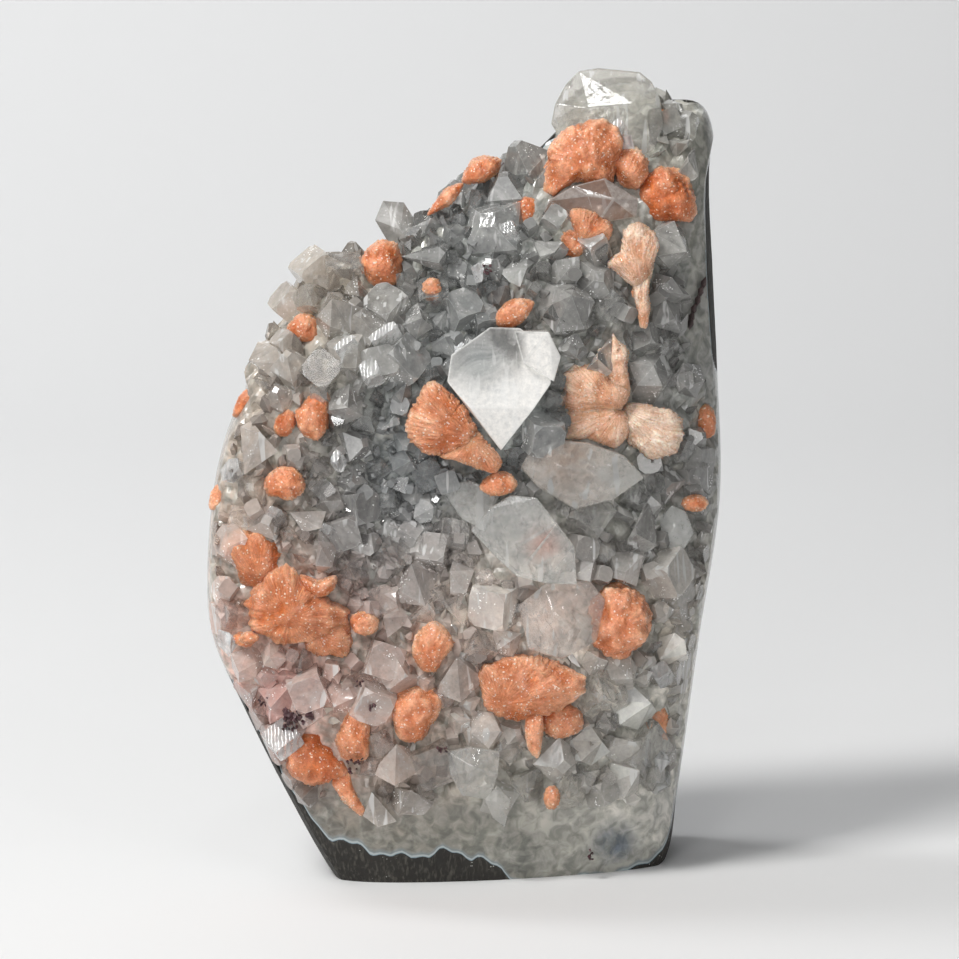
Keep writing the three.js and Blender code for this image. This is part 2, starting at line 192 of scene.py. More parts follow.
def contact(x, z):
    """The y of the surface where the crust grew on the basalt."""
    wave = 2 * np.sin(0.09 * z + 1) + 1.2 * np.sin(0.13 * x + 0.05 * z)
    strip = BARE_STRIP["reach"] * bump(x - BARE_STRIP["x"], 7) * bump(z - BARE_STRIP["z"], 17)
    line_x, line_z = np.array(FOOT_LINE).T
    ripple = 0.9 * np.sin(0.55 * x + 1) + 0.5 * np.sin(1.3 * x)
    foot = FOOT_REACH * np.exp(-(z + ripple - np.interp(x, line_x, line_z)) / FOOT_FALL)
    spread = GROUND.spread(x, z)
    left = SIDE_CUT * smoothstep(spread, 0.93, 0.99) * smoothstep(z, 66, 44) * (np.asarray(x) < 0)
    right = (
        SIDE_CUT * smoothstep(spread, 0.945, 0.985) * smoothstep(z, 118, 126) * smoothstep(z, 176, 168)
        * (np.asarray(x) > 0)
    )
    return SKEW * x + CONTACT_DEPTH + wave - strip - left - right - np.minimum(foot, 3 * FOOT_REACH)


ROCK = Pillow(
    [*grown(LEFT_EDGE, 1.03), *CREST, *grown(RIGHT_EDGE, 1.03), *BELOW_BASE], FACE_DEPTH, BACK_DEPTH,
)
GROUND = Pillow(
    [*LEFT_EDGE, *OPEN_AIR, *RIGHT_EDGE[1:], *BELOW_BASE],
    FACE_DEPTH + CRYSTAL_RISE, BACK_DEPTH + CRYSTAL_RISE,
)
# The camera looks level with the photograph's: almost straight on, a little from above
PHOTO_SIZE = 959
SENSOR_WIDTH = 36
CAMERA_RISE = math.radians(8)
CAMERA_DISTANCE = 1.3
VIEW_WIDTH = 0.2302
AIM = Vector((0.00324, -0.024, 0.0985))
AWAY = Vector((0, -math.cos(CAMERA_RISE), math.sin(CAMERA_RISE)))
EYE = AIM + CAMERA_DISTANCE * AWAY
KEY_LIGHT = Vector((-0.6, -0.6, 1.2))  # also decides which crystals would glare


def from_photo(column, row, y):
    """The place, in millimetres, at depth y behind a spot that is given in the photograph's pixels."""
    step = VIEW_WIDTH / PHOTO_SIZE
    across, above = (column - PHOTO_SIZE / 2) * step, (PHOTO_SIZE / 2 - row) * step
    spot = AIM + Vector((across, above * math.sin(CAMERA_RISE), above * math.cos(CAMERA_RISE)))
    ray = spot - EYE
    hit = EYE + ray * ((y * MM - EYE.y) / ray.y)
    return np.array(hit) / MM


LIMIT = Pillow([*LEFT_EDGE, *CREST_TIPS, *RIGHT_EDGE, *BELOW_BASE], FACE_DEPTH, BACK_DEPTH)


def polished(x, z):
    """1 on the ground strip down the right of the face, 0 among the crystals."""
    strip = POLISHED_STRIP
    across, along = (x - strip["x"]) / strip["half_width"], (z - strip["z"]) / strip["half_height"]
    return smoothstep(np.hypot(across, along), 1.0, 0.85)


def natural(places, outward):
    """1 where the crystals stand as they grew, 0 where the rock is ground."""
    facing = smoothstep(np.maximum(-outward[:, 1], outward[:, 2]), 0.2, 0.6)
    return facing * smoothstep(places[:, 2], *GROUND_BAND) * (1 - polished(places[:, 0], places[:, 2]))


# Meshes
def piece_of(bm, name, *materials):
    mesh = bpy.data.meshes.new(name)
    bm.to_mesh(mesh)
    bm.free()
    piece = bpy.data.objects.new(name, mesh)
    bpy.context.collection.objects.link(piece)
    for material in materials:
        mesh.materials.append(material)
    return piece


def read_places(mesh):
    flat = np.empty(len(mesh.vertices) * 3, np.float32)
    mesh.vertices.foreach_get("co", flat)
    return flat.reshape(-1, 3).astype(float) / MM


def write_places(mesh, places):
    mesh.vertices.foreach_set("co", (places * MM).astype(np.float32).ravel())
    mesh.update()


def write_value(mesh, name, values):
    layer = mesh.attributes.new(name, "FLOAT", "POINT")
    layer.data.foreach_set("value", np.asarray(values, np.float32))


def write_colour(mesh, name, colours):
    layer = mesh.color_attributes.new(name, "FLOAT_COLOR", "POINT")
    full = np.ones((len(colours), 4), np.float32)
    full[:, :3] = colours
    layer.data.foreach_set("color", full.ravel())


def pillow_piece(form, name, divisions, relief=None):
    bm = bmesh.new()
    bmesh.ops.create_icosphere(bm, subdivisions=divisions, radius=1)
    piece = piece_of(bm, name)
    directions = read_places(piece.data) * MM
    directions /= np.linalg.norm(directions, axis=1, keepdims=True)
    places = form.mapped(directions)
    if relief:
        outward = form.outward(places)
        places = places + outward * relief(places, outward)[:, None]
    write_places(piece.data, places)
    return piece


SLAB_WIDTH, SLAB_HEIGHT, SLAB_MIDDLE, SLAB_FRONT = 160, 240, 100, -120
BLOCK_SIZE = 400


def contact_slab():
    """A closed block that fills the space before the contact surface."""
    bm = bmesh.new()
    bmesh.ops.create_grid(bm, x_segments=150, y_segments=220, size=0.5)
    for vert in bm.verts:
        x, z = vert.co.x * SLAB_WIDTH, vert.co.y * SLAB_HEIGHT + SLAB_MIDDLE
        vert.co = (x * MM, float(contact(x, z)) * MM, z * MM)
    front = bmesh.ops.extrude_face_region(bm, geom=bm.faces[:])["geom"]
    for vert in (v for v in front if isinstance(v, bmesh.types.BMVert)):
        vert.co.y = SLAB_FRONT * MM
    bmesh.ops.recalc_face_normals(bm, faces=bm.faces[:])
    return piece_of(bm, "contact_slab")


def base_block():
    """A block that stands on the ground and cuts the rock's base flat."""
    bm = bmesh.new()
    middle = Matrix.Translation((0, 0, BLOCK_SIZE / 2 * MM))
    bmesh.ops.create_cube(bm, size=BLOCK_SIZE * MM, matrix=middle)
    return piece_of(bm, "base_block")


def carve(piece, *cuts):
    """Cuts a piece by others, each with INTERSECT or DIFFERENCE, and keeps the result."""
    for operation, cutter in cuts:
        cut = piece.modifiers.new("cut", "BOOLEAN")
        cut.operation = operation
        cut.object = cutter
        cut.solver = "MANIFOLD"
    depsgraph = bpy.context.evaluated_depsgraph_get()
    mesh = bpy.data.meshes.new_from_object(piece.evaluated_get(depsgraph))
    piece.modifiers.clear()
    old = piece.data
    piece.data = mesh
    bpy.data.meshes.remove(old)


def removed(*pieces):
    for piece in pieces:
        mesh = piece.data
        bpy.data.objects.remove(piece)
        bpy.data.meshes.remove(mesh)


# Tone of the crust, in listed zones: x, z, radius, colour and weight
BASE_TONE = np.array((0.46, 0.455, 0.435))
ZONES = [
    (-14, 96, 22, (0.29, 0.335, 0.36), 1.1),
    (-2, 146, 18, (0.33, 0.355, 0.36), 0.9),
    (-56, 110, 15, (0.62, 0.50, 0.41), 1.5),
    (-56, 84, 15, (0.68, 0.52, 0.42), 1.5),
    (-38, 145, 14, (0.60, 0.50, 0.40), 1.5),
    (-44, 52, 15, (1.0, 0.64, 0.55), 2.6),
    (-45, 49, 3.5, (0.60, 0.15, 0.12), 2.5),
    (-22, 44, 13, (1.0, 0.70, 0.60), 2.0),
    (-8, 38, 12, (0.85, 0.74, 0.64), 1.2),
    (4, 60, 15, (1.0, 0.84, 0.75), 3.0),
    (0, 6, 22, (0.23, 0.22, 0.18), 2.2),
    (-32, 16, 9, (0.16, 0.145, 0.11), 2.5),
    (36, 32, 16, (1.0, 0.95, 0.88), 3.2),
    (50, 60, 12, (0.85, 0.76, 0.66), 1.2),
    (50, 96, 18, (0.42, 0.41, 0.39), 1.2),
    (46, 132, 16, (0.33, 0.325, 0.31), 0.9),
    (24, 143, 12, (0.46, 0.43, 0.39), 0.7),
    (42, 176, 14, (0.50, 0.48, 0.42), 0.8),
    (36, 7.5, 2.3, (0.05, 0.09, 0.15), 14.0),
    (13.5, 7, 2.6, (0.09, 0.09, 0.08), 8.0),
]


def crust_tone(places):
    x, _, z = places.T
    total = np.full(len(places), 0.35)
    tone = np.outer(total, BASE_TONE)
    for zone_x, zone_z, radius, colour, weight in ZONES:
        pull = weight * bump(np.hypot(x - zone_x, z - zone_z), radius)
        total = total + pull
        tone += np.outer(pull, colour)
    return tone / total[:, None]


# Materials
def node(tree, kind, inputs=None, **settings):
    made = tree.nodes.new(kind)
    for key, value in settings.items():
        setattr(made, key, value)
    for key, value in (inputs or {}).items():
        feed(tree, made.inputs[key], value)
    return made


def feed(tree, socket, value):
    """Gives a socket a plain value, or links another socket to it."""
    if isinstance(value, bpy.types.NodeSocket):
        tree.links.new(value, socket)
    else:
        socket.default_value = value


def place_in_object(tree):
    return node(tree, "ShaderNodeTexCoord").outputs["Object"]


def attribute(tree, name, output="Fac"):
    return node(tree, "ShaderNodeAttribute", attribute_name=name).outputs[output]


def clouds(tree, where, scale, detail, roughness=0.5, distortion=0.0):
    """Noise from 0 to 1."""
    return node(tree, "ShaderNodeTexNoise", {
        "Vector": where, "Scale": scale, "Detail": detail, "Roughness": roughness, "Distortion": distortion,
    }).outputs["Fac"]


def cells(tree, where, scale, output="Distance"):
    return node(tree, "ShaderNodeTexVoronoi", {"Vector": where, "Scale": scale}).outputs[output]


def ranged(tree, value, low=0.0, high=1.0, to_low=0.0, to_high=1.0):
    """A value taken from one range to another, and held at its ends."""
    return node(tree, "ShaderNodeMapRange", {
        "Value": value, "From Min": low, "From Max": high, "To Min": to_low, "To Max": to_high,
    }).outputs[0]


def worked(tree, operation, *values):
    """What a Math node makes of some values."""
    return node(tree, "ShaderNodeMath", dict(enumerate(values)), operation=operation).outputs[0]


def stretched(tree, where, turn, scale):
    return node(tree, "ShaderNodeMapping", {"Vector": where, "Rotation": turn, "Scale": scale}).outputs[0]


def dented(tree, height, strength, depth):
    sizes = {"Height": height, "Strength": strength, "Distance": depth}
    return node(tree, "ShaderNodeBump", sizes).outputs[0]


def mixed_colour(tree, factor, a, b, blend="MIX"):
    made = node(tree, "ShaderNodeMix", data_type="RGBA", blend_type=blend)
    for key, value in ((0, factor), (6, a), (7, b)):
        feed(tree, made.inputs[key], value)
    return made.outputs[2]


def new_material(name):
    """A material, its tree and its shader."""
    material = bpy.data.materials.new(name)
    material.use_nodes = True
    tree = material.node_tree
    return material, tree, tree.nodes["Principled BSDF"]


def dress(tree, shader, **inputs):
    """Gives the shader its plain values and links."""
    for key, value in inputs.items():
        feed(tree, shader.inputs[key.replace("_", " ")], value)


def group(name, inputs, outputs):
    tree = bpy.data.node_groups.new(name, "ShaderNodeTree")
    for socket, value in inputs.items():
        tree.interface.new_socket(socket, in_out="INPUT", socket_type="NodeSocketFloat").default_value = value
    for socket in outputs:
        tree.interface.new_socket(socket, in_out="OUTPUT", socket_type="NodeSocketFloat")
    return tree, tree.nodes.new("NodeGroupInput").outputs, tree.nodes.new("NodeGroupOutput").inputs


def veil_group():
    """Veils, fine straight crack lines and painted sparkles in crystal, each from 0, clear, to 1, white."""
    tree, enter, leave = group(
        "crystal_veils", {"Scale": 120.0, "Contrast": 1.0}, ("Milky", "Cracks and sparkles", "Mottle"),
    )
    where = place_in_object(tree)
    milky = ranged(tree, clouds(tree, where, enter["Scale"], 4.0, 0.62, 1.2), 0.44, 0.66)
    # White specks in the milky parts paint sparkles of light
    sparkle_flecks = ranged(tree, cells(tree, where, 1000.0), 0.14, 0.24, 1.0, 0.0)
    cracks_and_sparkles = worked(tree, "MULTIPLY", sparkle_flecks, milky)
    for turn, scale in (((0.3, 0.5, 0.9), 300.0), ((1.2, -0.6, 2.2), 380.0)):
        along = stretched(tree, where, turn, (1, 1, 0.08))
        cracks_and_sparkles = worked(tree, "MAXIMUM", cracks_and_sparkles, ranged(tree, clouds(tree, along, scale, 2.0), 0.64, 0.68))
    tree.links.new(worked(tree, "MULTIPLY", milky, enter["Contrast"]), leave["Milky"])
    tree.links.new(cracks_and_sparkles, leave["Cracks and sparkles"])
    tree.links.new(ranged(tree, clouds(tree, where, 900.0, 3.0, 0.7), 0.3, 0.7), leave["Mottle"])
    return tree


VEILS = veil_group()
CRYSTAL_IOR = 1.54
PALE_EDGE = (0.95, 0.95, 0.93, 1)


def lets_light_in(tree, shader, share, tint):
    """Lamps' light passes partly through the crystal instead of leaving a black shadow."""
    path = node(tree, "ShaderNodeLightPath")
    part = worked(tree, "MULTIPLY", path.outputs["Is Shadow Ray"], share)
    open_side = node(tree, "ShaderNodeBsdfTransparent", {"Color": (*tint, 1)})
    mix = node(tree, "ShaderNodeMixShader", {0: part, 1: shader.outputs[0], 2: open_side.outputs[0]})
    tree.links.new(mix.outputs[0], tree.nodes["Material Output"].inputs["Surface"])


def absorbing(tree, colour, density):
    volume = node(tree, "ShaderNodeVolumeAbsorption", {"Color": (*colour, 1), "Density": density})
    tree.links.new(volume.outputs[0], tree.nodes["Material Output"].inputs["Volume"])


def crystal_material(name, clear, milk, roughness, veil_scale, contrast, cracks_and_sparkles=1.0, striped=False):
    """Clear to milky crystal with its tint from the mesh, and paler along parts of its edges."""
    material, tree, shader = new_material(name)
    where = place_in_object(tree)
    veils = tree.nodes.new("ShaderNodeGroup")
    veils.node_tree = VEILS
    veils.inputs["Scale"].default_value = veil_scale
    veils.inputs["Contrast"].default_value = contrast
    mottle = veils.outputs["Mottle"]
    shade = mixed_colour(tree, mottle, (0.80, 0.81, 0.82, 1), (1.14, 1.13, 1.12, 1))
    mottled = mixed_colour(tree, 1.0, attribute(tree, "tint", "Color"), shade, "MULTIPLY")
    milky = mixed_colour(tree, veils.outputs["Milky"], mottled, (*milk, 1))
    shown = worked(tree, "MULTIPLY", veils.outputs["Cracks and sparkles"], cracks_and_sparkles)
    # Crack lines and painted sparkles of light turn the colour white
    cracked_and_sparkled = mixed_colour(tree, shown, milky, (0.97, 0.97, 0.96, 1))
    edge = ranged(tree, attribute(tree, "rim"), 0.4, 1.0, 0.0, 0.6)
    strength = worked(tree, "MULTIPLY", edge, ranged(tree, mottle, to_low=0.35, to_high=1.2))
    height = clouds(tree, where, 420.0, 2.0)
    if striped:
        growth = node(tree, "ShaderNodeTexWave", {
            "Vector": where, "Scale": 190.0, "Distortion": 3.0, "Detail": 2.0,
        })
        height = worked(tree, "ADD", growth.outputs["Fac"], height)
    dress(
        tree, shader, Base_Color=mixed_colour(tree, strength, cracked_and_sparkled, PALE_EDGE),
        Roughness=ranged(tree, attribute(tree, "polish"), to_low=roughness[0], to_high=roughness[1]),
        Normal=dented(tree, height, 0.7 if striped else 0.22, 0.0003),
        Transmission_Weight=clear, IOR=CRYSTAL_IOR,
    )
    lets_light_in(tree, shader, 0.6, (0.85, 0.87, 0.87))
    absorbing(tree, (0.72, 0.75, 0.77), 12.0)
    return material


def druse_material(name, clear, roughness):
    """Small crystals, too fine for veils to show."""
    material, tree, shader = new_material(name)
    mottle = clouds(tree, place_in_object(tree), 900.0, 2.0)
    shade = mixed_colour(tree, mottle, (0.75, 0.76, 0.77, 1), (1.2, 1.19, 1.18, 1))
    mottled = mixed_colour(tree, 1.0, attribute(tree, "tint", "Color"), shade, "MULTIPLY")
    edge = ranged(tree, attribute(tree, "rim"), 0.4, 1.0, 0.0, 0.55)
    dress(
        tree, shader, Base_Color=mixed_colour(tree, edge, mottled, PALE_EDGE),
        Roughness=ranged(tree, attribute(tree, "polish"), to_low=roughness[0], to_high=roughness[1]),
        Transmission_Weight=clear, IOR=CRYSTAL_IOR,
    )
    return material


# Bands along the basalt, from the contact outwards
BANDS = [
    (0.0, (0.02, 0.02, 0.02, 1)), (0.07, (0.03, 0.035, 0.04, 1)), (0.12, (0.30, 0.40, 0.46, 1)),
    (0.22, (0.55, 0.60, 0.60, 1)), (0.34, (0.24, 0.29, 0.31, 1)), (1.0, (0.5, 0.5, 0.5, 1)),
]


def bed_material():
    """The quartz under the crystals and its ground sides, banded along the basalt."""
    material, tree, shader = new_material("quartz_bed")
    where = place_in_object(tree)
    patch = ranged(tree, cells(tree, where, 230.0), 0.0, 0.8, 0.0, 0.4)
    dark = mixed_colour(tree, patch, attribute(tree, "tint", "Color"), (0.14, 0.145, 0.145, 1))
    milky = ranged(tree, clouds(tree, where, 90.0, 5.0, 0.65, 1.4), 0.46, 0.64, 0.0, 0.75)
    pale = mixed_colour(tree, milky, dark, (0.40, 0.39, 0.35, 1))
    bands = tree.nodes.new("ShaderNodeValToRGB")
    ramp = bands.color_ramp
    while len(ramp.elements) < len(BANDS):
        ramp.elements.new(0.5)
    for element, (position, colour) in zip(ramp.elements, BANDS):
        element.position = position
        element.color = colour
    shift = worked(tree, "MULTIPLY_ADD", clouds(tree, where, 260.0, 3.0), 0.25, -0.125)
    along = worked(tree, "ADD", attribute(tree, "rim"), shift)
    tree.links.new(along, bands.inputs[0])
    upright_veins = clouds(tree, stretched(tree, where, (0, 0.1, 0), (1, 1, 0.16)), 210.0, 4.0, 0.5, 0.5)
    veins = ranged(tree, upright_veins, 0.58, 0.66, 0.0, 0.6)
    height = node(tree, "ShaderNodeSeparateXYZ", {"Vector": where}).outputs["Z"]
    drawn = worked(tree, "MULTIPLY", veins, ranged(tree, height, 0.04, 0.07))
    veined = mixed_colour(tree, drawn, pale, (0.50, 0.51, 0.49, 1))
    mottle = ranged(tree, clouds(tree, where, 330.0, 3.0, 0.5, 0.8), 0.36, 0.64)
    shade = mixed_colour(tree, mottle, (0.66, 0.68, 0.66, 1), (1.3, 1.3, 1.28, 1))
    ground = mixed_colour(tree, 1.0, veined, shade, "MULTIPLY")
    near = ranged(tree, along, 0.28, 0.6, 0.95, 0.0)
    dress(
        tree, shader, Base_Color=mixed_colour(tree, near, ground, bands.outputs["Color"]),
        Normal=dented(tree, clouds(tree, where, 900.0, 3.0), 0.3, 0.0003),
        Roughness=0.16, Transmission_Weight=0.12, IOR=CRYSTAL_IOR,
    )
    return material


def basalt_material():
    """Sawn and ground basalt: dark, with fine upright tool marks and small pale sparks."""
    material, tree, shader = new_material("sawn_basalt")
    where = place_in_object(tree)
    marks = clouds(tree, stretched(tree, where, (0, 0, 0), (1, 1, 0.16)), 1500.0, 3.0)
    grain = clouds(tree, where, 700.0, 6.0)
    patches = clouds(tree, where, 60.0, 5.0)
    brown = mixed_colour(tree, patches, (0.004, 0.0035, 0.003, 1), (0.032, 0.028, 0.022, 1))
    lined = mixed_colour(tree, ranged(tree, marks, 0.5, 0.7, 0.0, 0.8), brown, (0.085, 0.078, 0.064, 1))
    spots = ranged(tree, cells(tree, where, 900.0), 0.10, 0.16, 1.0, 0.0)
    sparks = worked(tree, "MULTIPLY", spots, ranged(tree, patches, 0.52, 0.6))
    dress(
        tree, shader, Base_Color=mixed_colour(tree, sparks, lined, (0.75, 0.75, 0.7, 1)),
        Roughness=ranged(tree, grain, to_low=0.5, to_high=0.85),
        Normal=dented(tree, worked(tree, "ADD", marks, grain), 0.6, 0.0004),
    )
    return material


def clay_material():
    """Dark clay in small specks between the crystals."""
    material, tree, shader = new_material("dark_clay")
    grain = clouds(tree, place_in_object(tree), 1500.0, 4.0)
    colour = mixed_colour(tree, grain, attribute(tree, "tint", "Color"), (0.10, 0.06, 0.06, 1))
    dress(tree, shader, Base_Color=colour, Normal=dented(tree, grain, 0.6, 0.0004), Roughness=0.45)
    return material


def stilbite_material():
    """Peach stilbite: translucent and sugary, with fine blades that spread from each growth's foot."""
    material, tree, shader = new_material("peach_stilbite")
    where = place_in_object(tree)
    ridge = ranged(tree, clouds(tree, attribute(tree, "fan", "Vector"), 1.0, 4.0, 0.6), 0.36, 0.64)
    ridged = mixed_colour(tree, ridge, (0.82, 0.68, 0.58, 1), (1.08, 1.12, 1.16, 1))
    bladed = mixed_colour(tree, 1.0, attribute(tree, "tint", "Color"), ridged, "MULTIPLY")
    cloudy = ranged(tree, clouds(tree, where, 240.0, 6.0, 0.6), 0.34, 0.66)
    body = mixed_colour(tree, cloudy, (0.80, 0.70, 0.64, 1), (1.12, 1.12, 1.12, 1))
    clouded = mixed_colour(tree, 1.0, bladed, body, "MULTIPLY")
    grains = node(tree, "ShaderNodeSeparateColor", {"Color": cells(tree, where, 3000.0, "Color")}).outputs
    # Pale specks on a few grains paint sparkles of light
    sparks = ranged(tree, grains[0], 0.95, 0.97, 0.0, 0.7)
    speckled = mixed_colour(tree, sparks, clouded, (1.0, 0.88, 0.76, 1))
    dim = ranged(tree, grains[1], to_low=0.84, to_high=1.08)
    dress(
        tree, shader, Base_Color=mixed_colour(tree, 1.0, speckled, dim, "MULTIPLY"),
        Roughness=ranged(tree, attribute(tree, "polish"), to_low=0.08, to_high=0.5),
        Normal=dented(tree, worked(tree, "MULTIPLY_ADD", ridge, 1.6, grains[2]), 0.6, 0.00035),
        Subsurface_Weight=0.35, Subsurface_Radius=(1.0, 0.4, 0.2), Subsurface_Scale=0.002, IOR=1.5,
    )
    return material


QUARTZ_CRYSTAL = crystal_material("quartz_crystal", 0.54, (0.84, 0.83, 0.80), (0.02, 0.2), 150.0, 0.45)
CLEAR_QUARTZ = crystal_material("clear_quartz_crystal", 0.8, (0.94, 0.94, 0.92), (0.01, 0.1), 180.0, 0.5)
QUARTZ_DRUSE = druse_material("quartz_druse", 0.5, (0.03, 0.2))
CLEAR_DRUSE = druse_material("clear_quartz_druse", 0.75, (0.01, 0.1))
# Opaque near-white chips whose colour paints sparkles of light on the crystals
PAINTED_SPARKLE_CHIPS = druse_material("crystal_painted_sparkle_chips", 0.0, (0.05, 0.2))
GLINTING_QUARTZ = crystal_material(
    "glinting_quartz_crystal", 0.7, (0.94, 0.94, 0.92), (0.02, 0.2), 180.0, 0.5, striped=True,
)
CLEAR_APOPHYLLITE = crystal_material(
    "apophyllite_crystal", 0.72, (0.95, 0.94, 0.91), (0.03, 0.25), 130.0, 0.5,
)
BROWN_APOPHYLLITE = crystal_material(
    "brown_apophyllite_crystal", 0.55, (0.52, 0.41, 0.35), (0.06, 0.3), 130.0, 0.45, cracks_and_sparkles=0.2,
)
MILKY_APOPHYLLITE = crystal_material(
    "milky_apophyllite_crystal", 0.18, (0.97, 0.96, 0.94), (0.05, 0.3), 80.0, 0.4, cracks_and_sparkles=0.3,
)
QUARTZ_BED = bed_material()
CLAY = clay_material()
BASALT = basalt_material()
STILBITE = stilbite_material()


# Crystal habits, one unit wide with the seat at z = 0 and the tip near z = 1
LEAST_FACET = 0.02
FACET_TONES = (0.74, 1.2)  # how much darker or paler single facets are


def least_first(corners):
    """A face's corners from the lowest on, because a bevel leaves them in another order each run."""
    first = corners.index(min(corners))
    return corners[first:] + corners[:first]


def baked(bm, rim=0.0):
    """A small closed bmesh as arrays: corners, triangles, how near an edge each corner is, its shade."""
    bmesh.ops.recalc_face_normals(bm, faces=bm.faces[:])
    shade = {}
    if rim:
        facets = [face for face in bm.faces if face.calc_area() > LEAST_FACET]
        bmesh.ops.inset_individual(bm, faces=facets, thickness=rim, depth=0.0)
        for facet in facets:
            tone = draw.uniform(*FACET_TONES)
            shade.update((vert, tone) for vert in facet.verts)
    bmesh.ops.triangulate(bm, faces=bm.faces[:])
    bm.verts.index_update()
    places = np.array([v.co for v in bm.verts])
    faces = np.array(sorted(least_first([v.index for v in f.verts]) for f in bm.faces))
    edges = np.array([0.0 if v in shade else 1.0 for v in bm.verts])
    shades = np.array([shade.get(v, 1.0) for v in bm.verts])
    bm.free()
    return places, faces, edges, shades


def prism(sides, foot_radius, top_radius, height, middle):
    bm = bmesh.new()
    bmesh.ops.create_cone(
        bm, cap_ends=True, segments=sides, radius1=foot_radius, radius2=top_radius, depth=height,
        matrix=Matrix.Translation((0, 0, middle)),
    )
    return bm


def top_face(bm):
    return max(bm.faces, key=lambda face: face.calc_center_median().z)


def top_corner(bm):
    return max(bm.verts, key=lambda vert: vert.co.z)


def cut_off(bm, corners):
    """Cuts corners off a crystal, by a random depth."""
    bmesh.ops.bevel(
        bm, geom=corners, offset=draw.uniform(0.12, 0.3), offset_type="OFFSET", segments=1,
        profile=0.5, affect="VERTICES", material=-1,
    )


def wrap(bm):
    """Puts the convex hull of a bmesh's corners in its place."""
    hull = bmesh.ops.convex_hull(bm, input=bm.verts[:])
    loose = [vert for vert in hull["geom_interior"] if isinstance(vert, bmesh.types.BMVert)]
    bmesh.ops.delete(bm, geom=loose, context="VERTS")


def quartz_point():
    """A six-sided crystal whose tip has three large faces and three small ones."""
    foot = -0.7
    shoulder = draw.uniform(0.1, 0.45)
    bm = prism(6, 0.5, 0.47, shoulder - foot, (shoulder + foot) / 2)
    top = top_face(bm)
    corners = list(top.verts)
    bmesh.ops.poke(bm, faces=[top], offset=1 - shoulder)
    uneven = draw.uniform(0.05, 0.3)
    for k, vert in enumerate(corners):
        vert.co.z += uneven * (1 if k % 2 else -1)
    tip = top_corner(bm)
    tip.co.x += draw.uniform(-0.18, 0.18)
    tip.co.y += draw.uniform(-0.18, 0.18)
    return baked(bm, 0.024)


def square_block():
    """A square apophyllite prism with its corners cut off by the pyramid's faces."""
    bm = bmesh.new()
    bmesh.ops.create_cube(bm, size=0.9, matrix=Matrix.Diagonal((1, 1, 1.6, 1)))
    cut_off(bm, bm.verts[:])
    bmesh.ops.translate(bm, verts=bm.verts[:], vec=(0, 0, 0.28))
    return baked(bm, 0.028)


def square_tip():
    """A four-sided apophyllite pyramid on a short prism, its tip often cut off."""
    bm = prism(4, 0.6, 0.6, 1.0, -0.3)
    bmesh.ops.poke(bm, faces=[top_face(bm)], offset=0.8)
    tip = top_corner(bm)
    if draw.random() < 0.6:
        cut_off(bm, [tip])
    return baked(bm, 0.024)


def broken_lump():
    """A crystal grown into its neighbours: an uneven lump with flat faces."""
    bm = bmesh.new()
    for _ in range(10):
        spot = Vector((draw.gauss(0, 1), draw.gauss(0, 1), draw.gauss(0, 1))).normalized()
        bm.verts.new((0.52 * spot.x, 0.52 * spot.y, 0.3 + 0.72 * spot.z))
    wrap(bm)
    return baked(bm, 0.025)


def hexagonal_plate():
    """A flat six-sided end face that stands out bright."""
    return baked(prism(6, 0.56, 0.5, 1.7, 0.15), 0.05)


def tiny_tip():
    return baked(prism(4, 0.6, 0.15, 1.2, 0))


GRAIN = tiny_tip()
HABITS = {
    "point": [quartz_point() for _ in range(10)],
    "block": [square_block() for _ in range(4)],
    "tip": [square_tip() for _ in range(4)],
    "lump": [broken_lump() for _ in range(8)],
    "plate": [hexagonal_plate() for _ in range(2)],
}


def upright(axis, turn):
    """A rotation that takes +Z to axis, after a turn about it."""
    lean = Vector((0, 0, 1)).rotation_difference(Vector(axis)).to_matrix()
    return np.array(lean @ Matrix.Rotation(turn, 3, "Z"))


PALEST = 0.97
SMALL_SHAPE = 400  # corners up to which a shape is cut flush with the ground side
NEAR_SIDE = 0.97
LOWEST = 0.4


